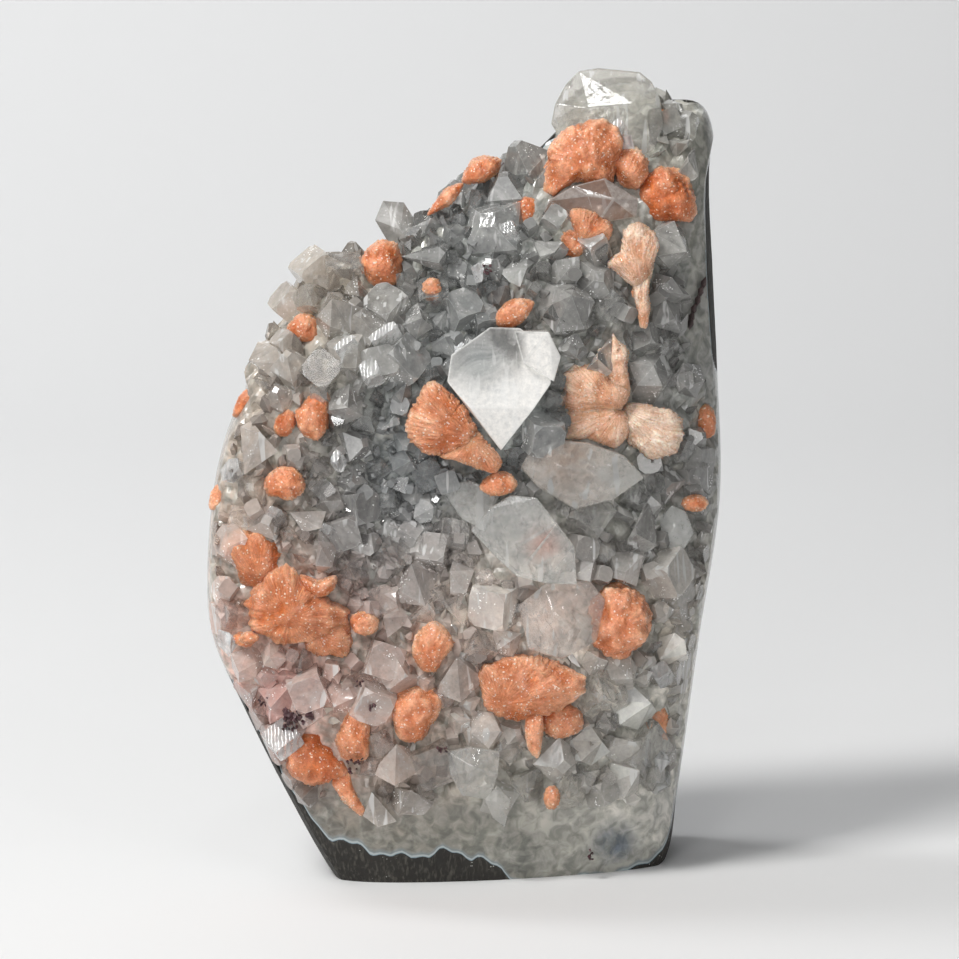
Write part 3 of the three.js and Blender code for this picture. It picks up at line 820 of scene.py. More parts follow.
class Heap:
    """Crystals gathered into one mesh, each with its own tint and polish."""

    def __init__(self):
        self.places, self.faces, self.tints, self.polish, self.edges, self.fans = [], [], [], [], [], []
        self.count = 0

    def add(self, shape, turn, size, place, tint, polish):
        corners, faces, edges, shades = shape
        tints = np.clip(np.outer(shades, tint), 0, PALEST)
        self.join((corners * size) @ turn.T + place, faces, tints, polish, edges)

    def join(self, places, faces, tint, polish, edges=None, fan=None):
        """Takes a closed shape in, cut flat where it passes the ground side."""
        edges = np.zeros(len(places)) if edges is None else edges
        tint = np.asarray(tint, float)
        if GROUND.spread(places[:, 0], places[:, 2]).max() > NEAR_SIDE and len(places) < SMALL_SHAPE:
            places, faces, edges = ground_flat(places, faces, edges)
            tint = tint.reshape(-1, 3).mean(axis=0)
            if len(faces) < 4:
                return
        self.places.append(places)
        self.faces.append(faces + self.count)
        self.tints.append(tint if tint.ndim == 2 else np.tile(tint, (len(places), 1)))
        self.polish.append(np.full(len(places), polish) if np.isscalar(polish) else polish)
        self.edges.append(edges)
        self.fans.append(0.4 * places if fan is None else fan)
        self.count += len(places)

    def piece(self, name, material, smooth=False):
        places = np.vstack(self.places)
        places[:, 2] = np.maximum(places[:, 2], LOWEST)
        faces = np.vstack(self.faces)
        mesh = bpy.data.meshes.new(name)
        mesh.vertices.add(len(places))
        mesh.loops.add(3 * len(faces))
        mesh.polygons.add(len(faces))
        mesh.loops.foreach_set("vertex_index", faces.ravel().astype(np.int32))
        mesh.polygons.foreach_set("loop_start", np.arange(0, 3 * len(faces), 3, dtype=np.int32))
        write_places(mesh, places)
        mesh.update(calc_edges=True)
        if not smooth:
            mesh.shade_flat()
        write_colour(mesh, "tint", np.vstack(self.tints))
        write_value(mesh, "polish", np.concatenate(self.polish))
        write_value(mesh, "rim", np.concatenate(self.edges))
        if smooth:
            layer = mesh.attributes.new("fan", "FLOAT_VECTOR", "POINT")
            layer.data.foreach_set("vector", np.vstack(self.fans).astype(np.float32).ravel())
        mesh.materials.append(material)
        piece = bpy.data.objects.new(name, mesh)
        bpy.context.collection.objects.link(piece)
        return piece


def ground_flat(places, faces, edges):
    """Cuts a small crystal flush with the ground side next to it."""
    middle = places.mean(axis=0)
    x, z = middle[0], middle[2]
    spread = float(GROUND.spread(x, z))
    rim_x, rim_z = CENTRE + (np.array((x, z)) - CENTRE) / spread
    rim = np.array((rim_x, middle[1], rim_z))
    rim = GROUND.held_in(rim[None], 0.15)[0]
    out = GROUND.outward(rim[None])[0]
    if (out @ (places - rim).T).max() <= 0:
        return places, faces, edges
    bm = bmesh.new()
    layer = bm.verts.layers.float.new("near_edge")
    verts = [bm.verts.new(place) for place in places]
    for vert, edge in zip(verts, edges):
        vert[layer] = edge
    for face in faces:
        bm.faces.new([verts[k] for k in face])
    cut = bmesh.ops.bisect_plane(
        bm, geom=bm.verts[:] + bm.edges[:] + bm.faces[:], plane_co=rim, plane_no=out, clear_outer=True,
    )
    open_edges = [edge for edge in cut["geom_cut"] if isinstance(edge, bmesh.types.BMEdge)]
    if open_edges:
        bmesh.ops.holes_fill(bm, edges=open_edges, sides=0)
    bmesh.ops.triangulate(bm, faces=bm.faces[:])
    bmesh.ops.recalc_face_normals(bm, faces=bm.faces[:])
    bm.verts.index_update()
    corners = np.array([v.co for v in bm.verts]).reshape(-1, 3)
    rims = np.array([v[layer] for v in bm.verts])
    triangles = np.array([[v.index for v in f.verts] for f in bm.faces], int).reshape(-1, 3)
    bm.free()
    return corners, triangles, rims


# The rock: basalt matrix and the bed of quartz
def face_place(x, z):
    return np.array((x, float(ROCK.front_at(x, z)), z))


BED_CELL = 4.4
BANDS_WIDTH = 9


def bed_relief(places, outward):
    """Small flat faces of half-buried crystals on the natural face."""
    grown_free = natural(places, outward)
    rise = np.zeros(len(places))
    for i in np.flatnonzero(grown_free > 0.01):
        spot = Vector(places[i]) / BED_CELL
        distances, middles = noise.voronoi(spot)
        lean = noise.cell_vector(middles[0] * 7.3) - Vector((0.5, 0.5, 0.5))
        rise[i] = 1.5 * (1 - 1.6 * distances[0]) + 2.6 * lean.dot(spot - middles[0])
    return grown_free * (rise - 0.8)


def build_rock():
    slab_front, slab_back, block = contact_slab(), contact_slab(), base_block()
    ground = pillow_piece(GROUND, "ground_form", 6)
    bed = pillow_piece(ROCK, "quartz_bed", 7, bed_relief)
    carve(bed, ("INTERSECT", ground), ("INTERSECT", slab_front), ("INTERSECT", block))
    basalt = pillow_piece(ROCK, "basalt_body", 7)
    carve(basalt, ("INTERSECT", ground), ("DIFFERENCE", slab_back), ("INTERSECT", block))
    removed(slab_front, slab_back, block, ground)
    places = read_places(bed.data)
    write_colour(bed.data, "tint", crust_tone(places))
    edge = contact(places[:, 0], places[:, 2]) - places[:, 1]
    high = smoothstep(places[:, 2], 34, 60) * smoothstep(edge, 0.2, 1.2)
    write_value(bed.data, "rim", np.clip(np.maximum(edge / BANDS_WIDTH, high), 0, 1))
    for piece, material in ((bed, QUARTZ_BED), (basalt, BASALT)):
        piece.data.materials.clear()
        piece.data.materials.append(material)
    return bed, basalt


# The bed of crystals. The large ones are placed one by one, the others fill the space between.
BODY_DEPTH = 0.85  # how much of the bed's tone a crystal's body keeps
FINEST = 0.45  # how much smaller crystals are in the middle of a hollow
CROWD_CELL = 8.0
ROUNDS = 60  # batches of places that one scatter tries at most
BATCH = 400
GROWTH_PULL = np.array((0, -0.15, 0.35))  # crystals lean forwards and up
RIGHT_SIDE_STOP, SIDE_STOP = 0.955, 0.985  # how near to the ground side crystals stand
LEAST_UPRIGHT = 0.4
MOST_FOOT_SHOWN = 0.4  # millimetres that a leaning crystal's foot may stand out
CLEAR_SHARE = 0.35
FULL_TURN = 6.28
MIRRORING = 0.994  # cosine of the angle within which a face mirrors the key light
STAND_CLEAR_Y, FACE_Y, SLIT_Y = -28, -30, -20  # first guesses of how far back the face lies


def crystal_tint(place, shade):
    """A crystal's body is paler than the bed that shows through it."""
    tone = crust_tone(np.asarray(place)[None])[0]
    return np.clip(1 - (1 - tone) * BODY_DEPTH, 0, 1) * shade


class Crowd:
    """Places already taken, on a grid, so that crystals keep their distance."""

    def __init__(self, spacing):
        self.spacing, self.taken = spacing, {}

    def takes(self, place, width):
        home = tuple(int(value // CROWD_CELL) for value in place)
        for step in np.ndindex(3, 3, 3):
            key = tuple(h + s - 1 for h, s in zip(home, step))
            for other, wide in self.taken.get(key, ()):
                if np.linalg.norm(other - place) < self.spacing * (wide + width):
                    return False
        self.taken.setdefault(home, []).append((place, width))
        return True


def keep_clear(spots, share):
    """The oval on the face that a crystal or growth takes up, from its outline on the photograph."""
    places = np.array([from_photo(column, row, STAND_CLEAR_Y) for column, row in spots])
    low, high = places.min(axis=0), places.max(axis=0)
    middle, half = (low + high) / 2, share * (high - low) / 2
    return middle[0], middle[2], half[0], half[2]


def is_free(place, radius, ovals):
    x, _, z = place
    return all(
        ((x - mid_x) / (half_x + radius)) ** 2 + ((z - mid_z) / (half_z + radius)) ** 2 > 1
        for mid_x, mid_z, half_x, half_z in ovals
    )


def fineness(place):
    """Crystals are finer in the two hollows."""
    x, _, z = place
    fine = bump(math.hypot(x + 14, z - 96), 20) + 0.6 * bump(math.hypot(x + 2, z - 146), 14)
    return 1 - FINEST * min(1, float(fine))


def mirror_way(place):
    """The way that a face at a place has to look to mirror the key light into the photograph."""
    spot = Vector(place) * MM
    return ((KEY_LIGHT - spot).normalized() + (EYE - spot).normalized()).normalized()


def glares(triangles):
    """Whether a crystal has a large face that mirrors the key light into the photograph."""
    across = np.cross(triangles[:, 1] - triangles[:, 0], triangles[:, 2] - triangles[:, 0])
    size = np.linalg.norm(across, axis=1)
    return bool((across @ np.array(mirror_way(triangles[0, 0])) > np.maximum(MIRRORING * size, 4)).any())


def stands_badly(axis, out, width, rise):
    """Whether a crystal leans so far that its foot shows."""
    upright_share = float(axis @ out)
    foot_rise = 0.5 * width * math.sqrt(max(0, 1 - upright_share ** 2)) - 0.7 * rise * upright_share
    return upright_share < LEAST_UPRIGHT or foot_rise > MOST_FOOT_SHOWN


def scatter(heaps, crowd, count, widths, rises, habits, tilt, bright, ovals, elsewhere=1.0):
    """Stands crystals on the natural face, away from the hollows only a share of them."""
    made = tries = 0
    while made < count and tries < ROUNDS:
        tries += 1
        ball = np.array([[draw.gauss(0, 1) for _ in range(3)] for _ in range(BATCH)])
        places = ROCK.mapped(ball / np.linalg.norm(ball, axis=1, keepdims=True))
        outward = ROCK.outward(places)
        free = natural(places, outward)
        ground = GROUND.spread(places[:, 0], places[:, 2])
        for place, out, room, side in zip(places, outward, free, ground):
            share = fineness(place)
            if draw.random() > elsewhere + (1 - elsewhere) * (1 - share) / FINEST:
                continue
            width = draw.uniform(*widths) * share
            rise = draw.uniform(*rises) * share
            if room < draw.uniform(0.2, 0.6) or place[1] > contact(place[0], place[2]) - 1:
                continue
            if side > (RIGHT_SIDE_STOP if place[0] > 30 else SIDE_STOP):
                continue
            if not is_free(place, 0.42 * width, ovals):
                continue
            axis = out + GROWTH_PULL + np.array([draw.gauss(0, tilt) for _ in range(3)])
            axis /= np.linalg.norm(axis)
            turn = upright(axis, draw.uniform(0, FULL_TURN))
            shape = draw.choice(HABITS[draw.choice(habits)])
            size = np.array((width, width, rise))
            corners = (shape[0] * size) @ turn.T + place
            if stands_badly(axis, out, width, rise):
                continue
            if LIMIT.spread(corners[:, 0], corners[:, 2]).max() > 1 + draw.uniform(-0.005, 0.022):
                continue
            if not crowd.takes(place, width) or glares(corners[shape[1]]):
                continue
            tint = np.clip(crystal_tint(place, draw.uniform(*bright)), 0, PALEST)
            heap = heaps[draw.random() < CLEAR_SHARE]
            heap.add(shape, turn, size, place - 0.8 * out, tint, draw.random() ** 2)
            made += 1
            if made >= count:
                break


# Crystals placed one by one: x, z, width, rise, habit, lean right and up, turn in degrees, shade
NAMED_CRYSTALS = [
    (-9, 151, 15, 8, "lump", -0.3, 0.3, 30, 0.72), (-2.5, 163, 11, 7, "point", 0.2, 0.5, 10, 0.8),
    (-16, 157, 10, 9, "point", -0.4, 0.9, 5, 0.85), (-27.5, 150, 6, 6, "tip", 0.1, 0.5, 10, 0.7),
    (-35, 146, 9.5, 7, "block", -0.1, 0.3, 20, 1.1), (-41, 139, 8, 6, "block", -0.3, 0.3, 10, 1.15),
    (-30, 138, 12, 9, "point", 0.2, 0.4, 35, 0.95), (-47, 127, 11, 6, "lump", -0.3, 0.1, 25, 1.0),
    (-26, 143, 8, 6, "lump", 0.1, 0.1, 15, 0.75), (-22, 126, 8, 7, "block", 0.3, 0.4, 30, 1.1),
    (-41.5, 126, 9, 8, "tip", 0.0, 0.5, 0, 1.15), (-44.5, 119, 7, 6, "tip", 0.0, 0.4, 10, 1.1),
    (-50, 107, 13, 7, "lump", -0.2, 0.2, 40, 1.15), (-29, 117, 10, 7, "point", 0.1, 0.3, 0, 0.9),
    (-15.5, 103, 7, 5, "point", 0.2, 0.2, 20, 0.95), (-36, 82, 11, 8, "lump", 0.2, 0.2, 35, 1.0),
    (-38, 92, 9, 7, "lump", 0.2, -0.1, 75, 1.0), (7, 158, 15, 8, "tip", -0.2, 0.2, 30, 0.95),
    (24, 140, 15, 8, "point", -0.2, 0.2, 35, 0.9), (15, 172, 11, 10, "tip", -0.3, 0.8, 0, 0.7),
    (9.5, 166, 10, 8, "tip", 0.2, 0.7, 40, 0.75), (48, 154, 12, 8, "point", 0.2, 0.1, 30, 1.0),
    (52, 173, 9, 5, "lump", 0.3, 0.2, 20, 0.95), (17, 111, 9, 8, "block", 0.3, -0.3, 20, 1.0),
    (40, 86, 13, 8, "lump", 0.1, 0.1, 20, 0.85), (-1.5, 51, 13, 7, "lump", -0.1, -0.1, 15, 0.8),
    (-52, 55, 9, 7, "point", -0.3, 0.1, 15, 1.15), (-46, 57, 7, 6, "point", 0.1, 0.3, 15, 1.15),
    (-45, 46, 11, 8, "lump", 0.1, 0.1, 5, 1.1), (-38, 50, 9, 7, "block", 0.1, -0.1, 25, 1.1),
    (8, 21, 9, 7, "tip", 0.1, -0.6, 45, 1.2), (-16, 30, 12, 7, "lump", -0.2, 0.1, 0, 1.1),
    (-56, 84, 11, 6, "lump", -0.1, -0.1, 25, 1.1), (-12, 75, 13, 8, "lump", 0.1, -0.4, 40, 0.9),
    (40, 42, 13, 7, "point", 0.1, 0.2, 40, 1.1), (49, 55, 10, 7, "lump", 0.1, 0.2, 10, 1.1),
    (-58, 72, 9, 5, "lump", -0.2, 0.1, 10, 1.2), (2, 130, 8, 7, "tip", -0.2, 0.3, 20, 0.9),
    (-12, 136, 9, 7, "point", 0.1, 0.4, 5, 0.9), (31, 128, 10, 7, "lump", 0.1, 0.1, 5, 0.9),
    (-20, 20, 10, 5, "lump", 0.0, -0.3, 5, 1.1), (22, 30, 11, 6, "tip", 0.2, -0.2, 25, 1.1),
]
# Faces that mirror the key light: x, z, width, height as a share of it, turn in degrees, habit
GLINTS = [
    (-18.8, 133.5, 8, 0.3, 22, "block"), (-28, 131, 6, 0.3, 25, "block"), (11, 157.5, 3.6, 0.9, 5, "block"),
    (-56.4, 102.5, 6, 0.8, 0, "plate"), (-43.7, 36.5, 8, 0.9, 30, "block"), (-22, 125, 5, 1.0, 10, "block"),
    (-58.5, 59.5, 6, 0.9, 50, "block"), (-45.5, 92.5, 3, 0.6, 0, "tip"), (37, 181, 4, 0.6, 40, "block"),
    (3, 148, 4, 1.3, 0, "lump"), (-6, 152.5, 3.5, 0.8, 0, "tip"), (48, 49, 5, 0.8, 20, "block"),
    (47.5, 27, 5, 1.2, 20, "lump"), (-30, 104, 3.5, 0.6, 60, "block"), (30, 95.5, 3.5, 0.8, 0, "lump"),
    (38, 178, 5, 1.4, 70, "lump"), (-33, 88, 3, 0.9, 0, "tip"),
]


PAINTED_SPARKLE_CHIP_TRIES = 15000
# The chips' near-white tint paints sparkles of light
PAINTED_SPARKLE_CHIP_TINT = np.full(3, 0.96)
GLINT_TINT = np.full(3, 0.9)


def add_painted_sparkle_chips(heap, crystals):
    """Tiny chips that lie in patches on the crystals' faces, their near-white colour painting sparkles of
    light.
    """
    places, faces = np.vstack(crystals.places), np.vstack(crystals.faces)
    corners = places[faces]
    across = np.cross(corners[:, 1] - corners[:, 0], corners[:, 2] - corners[:, 0])
    size = np.linalg.norm(across, axis=1)
    front = np.flatnonzero((across[:, 1] < -0.25 * size) & (size > 0.5))
    for k in draw.choices(front.tolist(), weights=size[front].tolist(), k=PAINTED_SPARKLE_CHIP_TRIES):
        shares = np.array([draw.random() + 0.05 for _ in range(3)])
        place = shares @ corners[k] / shares.sum()
        if noise.noise(Vector(place) * 0.16) < draw.gauss(0.3, 0.12):
            continue
        width = draw.uniform(0.12, 0.45)
        axis = across[k] / size[k] + np.array([draw.gauss(0, 0.5) for _ in range(3)])
        turn = upright(axis / np.linalg.norm(axis), draw.uniform(0, FULL_TURN))
        shape = np.array((width, width * draw.uniform(0.4, 1.6), 0.5 * width))
        heap.add(GRAIN, turn, shape, place, PAINTED_SPARKLE_CHIP_TINT, draw.random())


def add_named_crystals(heap, crowd):
    for x, z, width, rise, habit, right, up, turn, shade in NAMED_CRYSTALS:
        place = face_place(x, z)
        out = ROCK.outward(place[None])[0]
        axis = out + np.array((0, -0.35, 0))
        axis = axis / np.linalg.norm(axis) + np.array((right, 0, up))
        crowd.takes(place, width)
        spin = upright(axis / np.linalg.norm(axis), math.radians(turn))
        tint = np.clip(crystal_tint(place, shade), 0, PALEST)
        size = np.array((width, width, rise))
        heap.add(draw.choice(HABITS[habit]), spin, size, place - 0.5 * out, tint, 0.15)


def add_glints(heap):
    for x, z, width, height, turn, habit in GLINTS:
        place = face_place(x, z) + np.array((0, -3.5, 0))
        spin = upright(mirror_way(place), math.radians(turn))
        size = np.array((width, width * height, 4))
        heap.add(draw.choice(HABITS[habit]), spin, size, place, GLINT_TINT, 0.35)


def build_crystals():
    ovals = [keep_clear(growth[0], 0.95) for growths in STILBITES.values() for growth in growths]
    ovals += [
        keep_clear([corner[:2] for corner in corners], 0.85)
        for crystals in APOPHYLLITES.values() for corners in crystals
    ]
    large, clear, small, bright, glinting, sparkle_chips = (Heap() for _ in range(6))
    crowd = Crowd(0.34)
    add_named_crystals(large, crowd)
    add_glints(glinting)
    own(glinting.piece("glinting_quartz_crystals", GLINTING_QUARTZ), "quartz")
    every, fine = ["point", "lump", "block", "tip"], ["point", "tip"]
    scatter((large, clear), crowd, 190, (9, 14.5), (4.5, 7.5), every, 0.45, (0.8, 1.12), ovals)
    scatter((large, clear), crowd, 600, (5.4, 9), (4, 6.5), every, 0.5, (0.75, 1.15), ovals)
    scatter((small, bright), Crowd(0.45), 700, (3, 4.6), (3.5, 6), every, 0.5, (0.8, 1.2), ovals, 0.15)
    scatter((small, bright), Crowd(0.8), 600, (1.2, 2.4), (3, 5.4), fine, 0.6, (0.9, 1.4), ovals, 0.2)
    # Near-white chips on the large crystals paint their sparkles of light
    add_painted_sparkle_chips(sparkle_chips, large)
    for heap, name, material in (
        (large, "quartz_crystals", QUARTZ_CRYSTAL), (clear, "clear_quartz_crystals", CLEAR_QUARTZ),
        (small, "quartz_druse", QUARTZ_DRUSE), (bright, "clear_quartz_druse", CLEAR_DRUSE),
        (sparkle_chips, "crystal_painted_sparkle_chips", PAINTED_SPARKLE_CHIPS),
    ):
        own(heap.piece(name, material), "quartz")


# Stilbite
STILBITE_TONES = np.array([(0.67, 0.19, 0.055), (0.94, 0.53, 0.34), (1.0, 0.83, 0.69)])
# Near-white grains that paint sparkles of light on the stilbite, and their share of all grains
PAINTED_SPARKLE_SUGAR = np.array((0.97, 0.90, 0.82))
PAINTED_SPARKLE_SHARE = 0.22
GROWTH_SQUARENESS = 2.3
BLADE_COUNT = 110  # fine blades in a whole turn about a growth's hinge
GRAIN_SIZE = 1.05
FINE_MESH_WIDTH = 30  # width and height together from which a growth needs the finer mesh
MOST_PLAIN_FOLDS = 5  # growths with more folds than this also have fine blades


def stilbite_tint(depth):
    """From deep orange in the folds, at 0, partly painted shade there, to peach at the blades' ends, at 1,
    and pearly at 2.
    """
    return np.stack([np.interp(depth, (0, 1, 2), STILBITE_TONES[:, k]) for k in range(3)], axis=-1)


def ball_shape(divisions):
    bm = bmesh.new()
    bmesh.ops.create_icosphere(bm, subdivisions=divisions, radius=1)
    places, faces = baked(bm)[:2]
    return places / np.linalg.norm(places, axis=1, keepdims=True), faces


BALL_FINE, BALL_COARSE = ball_shape(6), ball_shape(5)


def wavering(places, scale, offset):
    """Smooth noise at many places, from -1 to 1."""
    return np.array([noise.noise(Vector(place) * scale + offset) for place in places])


def grains(places, size):
    """Small closely packed grains: 1 at their middles and below 0 in the grooves between."""
    return np.array([1 - 1.7 * noise.voronoi(Vector(place) / size)[0][0] for place in places])


def sugar(heap, places, outward, count, sizes):
    """Tiny crystals on a stilbite's surface: peach grains, and a share of near-white ones that paint its
    sparkles of light.
    """
    for _ in range(count):
        k = draw.randrange(len(places))
        if outward[k][1] > 0.3:
            continue
        axis = outward[k] + np.array([draw.gauss(0, 0.35) for _ in range(3)])
        turn = upright(axis / np.linalg.norm(axis), draw.uniform(0, FULL_TURN))
        width = draw.uniform(*sizes)
        white = draw.random() < PAINTED_SPARKLE_SHARE
        tint = PAINTED_SPARKLE_SUGAR if white else stilbite_tint(np.array(draw.uniform(0.4, 1.0)))
        size = np.array((width, width, 1.1 * width)) * (draw.uniform(0.3, 0.8) if white else 1)
        heap.add(GRAIN, turn, size, places[k] - 0.1 * width * axis, tint, 0.0)


def notched_reach(ball, line, middle, plain, seed):
    """How far a growth reaches from its middle towards each place on a ball, its outline notched."""
    spokes = line - middle
    angles = np.arctan2(spokes[:, 1], spokes[:, 0])
    order = np.argsort(angles)
    around = np.arctan2(ball[:, 2], ball[:, 0])
    reach = np.interp(around, angles[order], np.linalg.norm(spokes, axis=1)[order], period=2 * np.pi)
    teeth = np.sin(17 * around + 3 * np.sin(5 * around + seed))
    teeth = teeth + 0.7 * np.sin(31 * around + 2 * np.sin(7 * around))
    return reach * (1 + (0.012 if plain else 0.02) * teeth)


def add_growth(heap, outline, hinge, y, thick, pleats, seed, pale):
    """A growth of stilbite within an outline seen from the front, whose folds spread from a hinge."""
    ring = np.array([from_photo(column, row, y)[[0, 2]] for column, row in outline])
    middle = ring.mean(axis=0)
    width = np.ptp(ring[:, 0]) + np.ptp(ring[:, 1])
    ball, faces = BALL_FINE if width > FINE_MESH_WIDTH else BALL_COARSE
    plain = pleats <= MOST_PLAIN_FOLDS
    reach = notched_reach(ball, closed_curve(ring, 16)[0], middle, plain, seed)
    side, fore = np.hypot(ball[:, 0], ball[:, 2]), np.abs(ball[:, 1])
    size = (side ** GROWTH_SQUARENESS + fore ** GROWTH_SQUARENESS) ** (1 / GROWTH_SQUARENESS)
    flat = ball[:, [0, 2]] / np.maximum(side, 1e-6)[:, None] * (reach * side / size)[:, None]
    back = y + np.sign(ball[:, 1]) * thick * fore / size
    body = np.stack([flat[:, 0] + middle[0], back, flat[:, 1] + middle[1]], axis=1)
    offset = Vector((seed * 3.1, seed * 1.7, seed * 2.3))
    waver = wavering(body, 0.16, offset)
    lobes = wavering(body, 0.34, offset + Vector((5, 5, 5)))
    grain = grains(body + seed * 7.0, GRAIN_SIZE)
    from_foot = body[:, [0, 2]] - from_photo(*hinge, y)[[0, 2]]
    away = np.linalg.norm(from_foot, axis=1)
    open_out = smoothstep(away, 0.5, 0.4 * width)
    turn = np.arctan2(from_foot[:, 1], from_foot[:, 0])
    fold = np.abs(np.sin(0.5 * pleats * turn + 1.6 * waver + seed)) ** 0.8
    fine = np.sin(3.1 * pleats * turn + 4 * waver) * np.sin(5.3 * pleats * turn + 3)
    ring_size = BLADE_COUNT / (2 * np.pi)
    fan = np.stack([
        ring_size * np.cos(turn), ring_size * np.sin(turn), 2.5 * away / width + 5 * waver + seed * 9,
    ], axis=1)
    outward = np.stack([ball[:, 0] / reach, ball[:, 1] / thick, ball[:, 2] / reach], axis=1)
    outward /= np.linalg.norm(outward, axis=1, keepdims=True)
    push = thick * (0.15 * waver + 0.11 * lobes + 0.09 * (fold - 0.6) * open_out + 0.03 * fine * open_out)
    body = body + outward * (push + 0.15 * grain)[:, None]
    ends = smoothstep(away, 0.3 * width, 0.55 * width) + smoothstep(side / size, 0.8, 1.0)
    # Darker where folds, lobes and grains sink in and paler where they bulge out: painted shade and light
    # over the growth's own paleness
    depth = 0.22 + pale + 0.4 * (fold - 0.4) * open_out + 0.32 * ends + 0.35 * lobes
    tint = stilbite_tint(depth + 0.12 * grain + 0.4 * waver + 0.1 * fine * open_out)
    heap.join(body, faces, tint, max(0.1, 0.5 - 0.35 * pale), fan=None if plain else fan)
    sugared = (grain > 0.1) & (outward[:, 1] < 0.3) & (side > 0.35)
    sugar(heap, body[sugared], outward[sugared], int(8 * width), (0.16, 0.42))


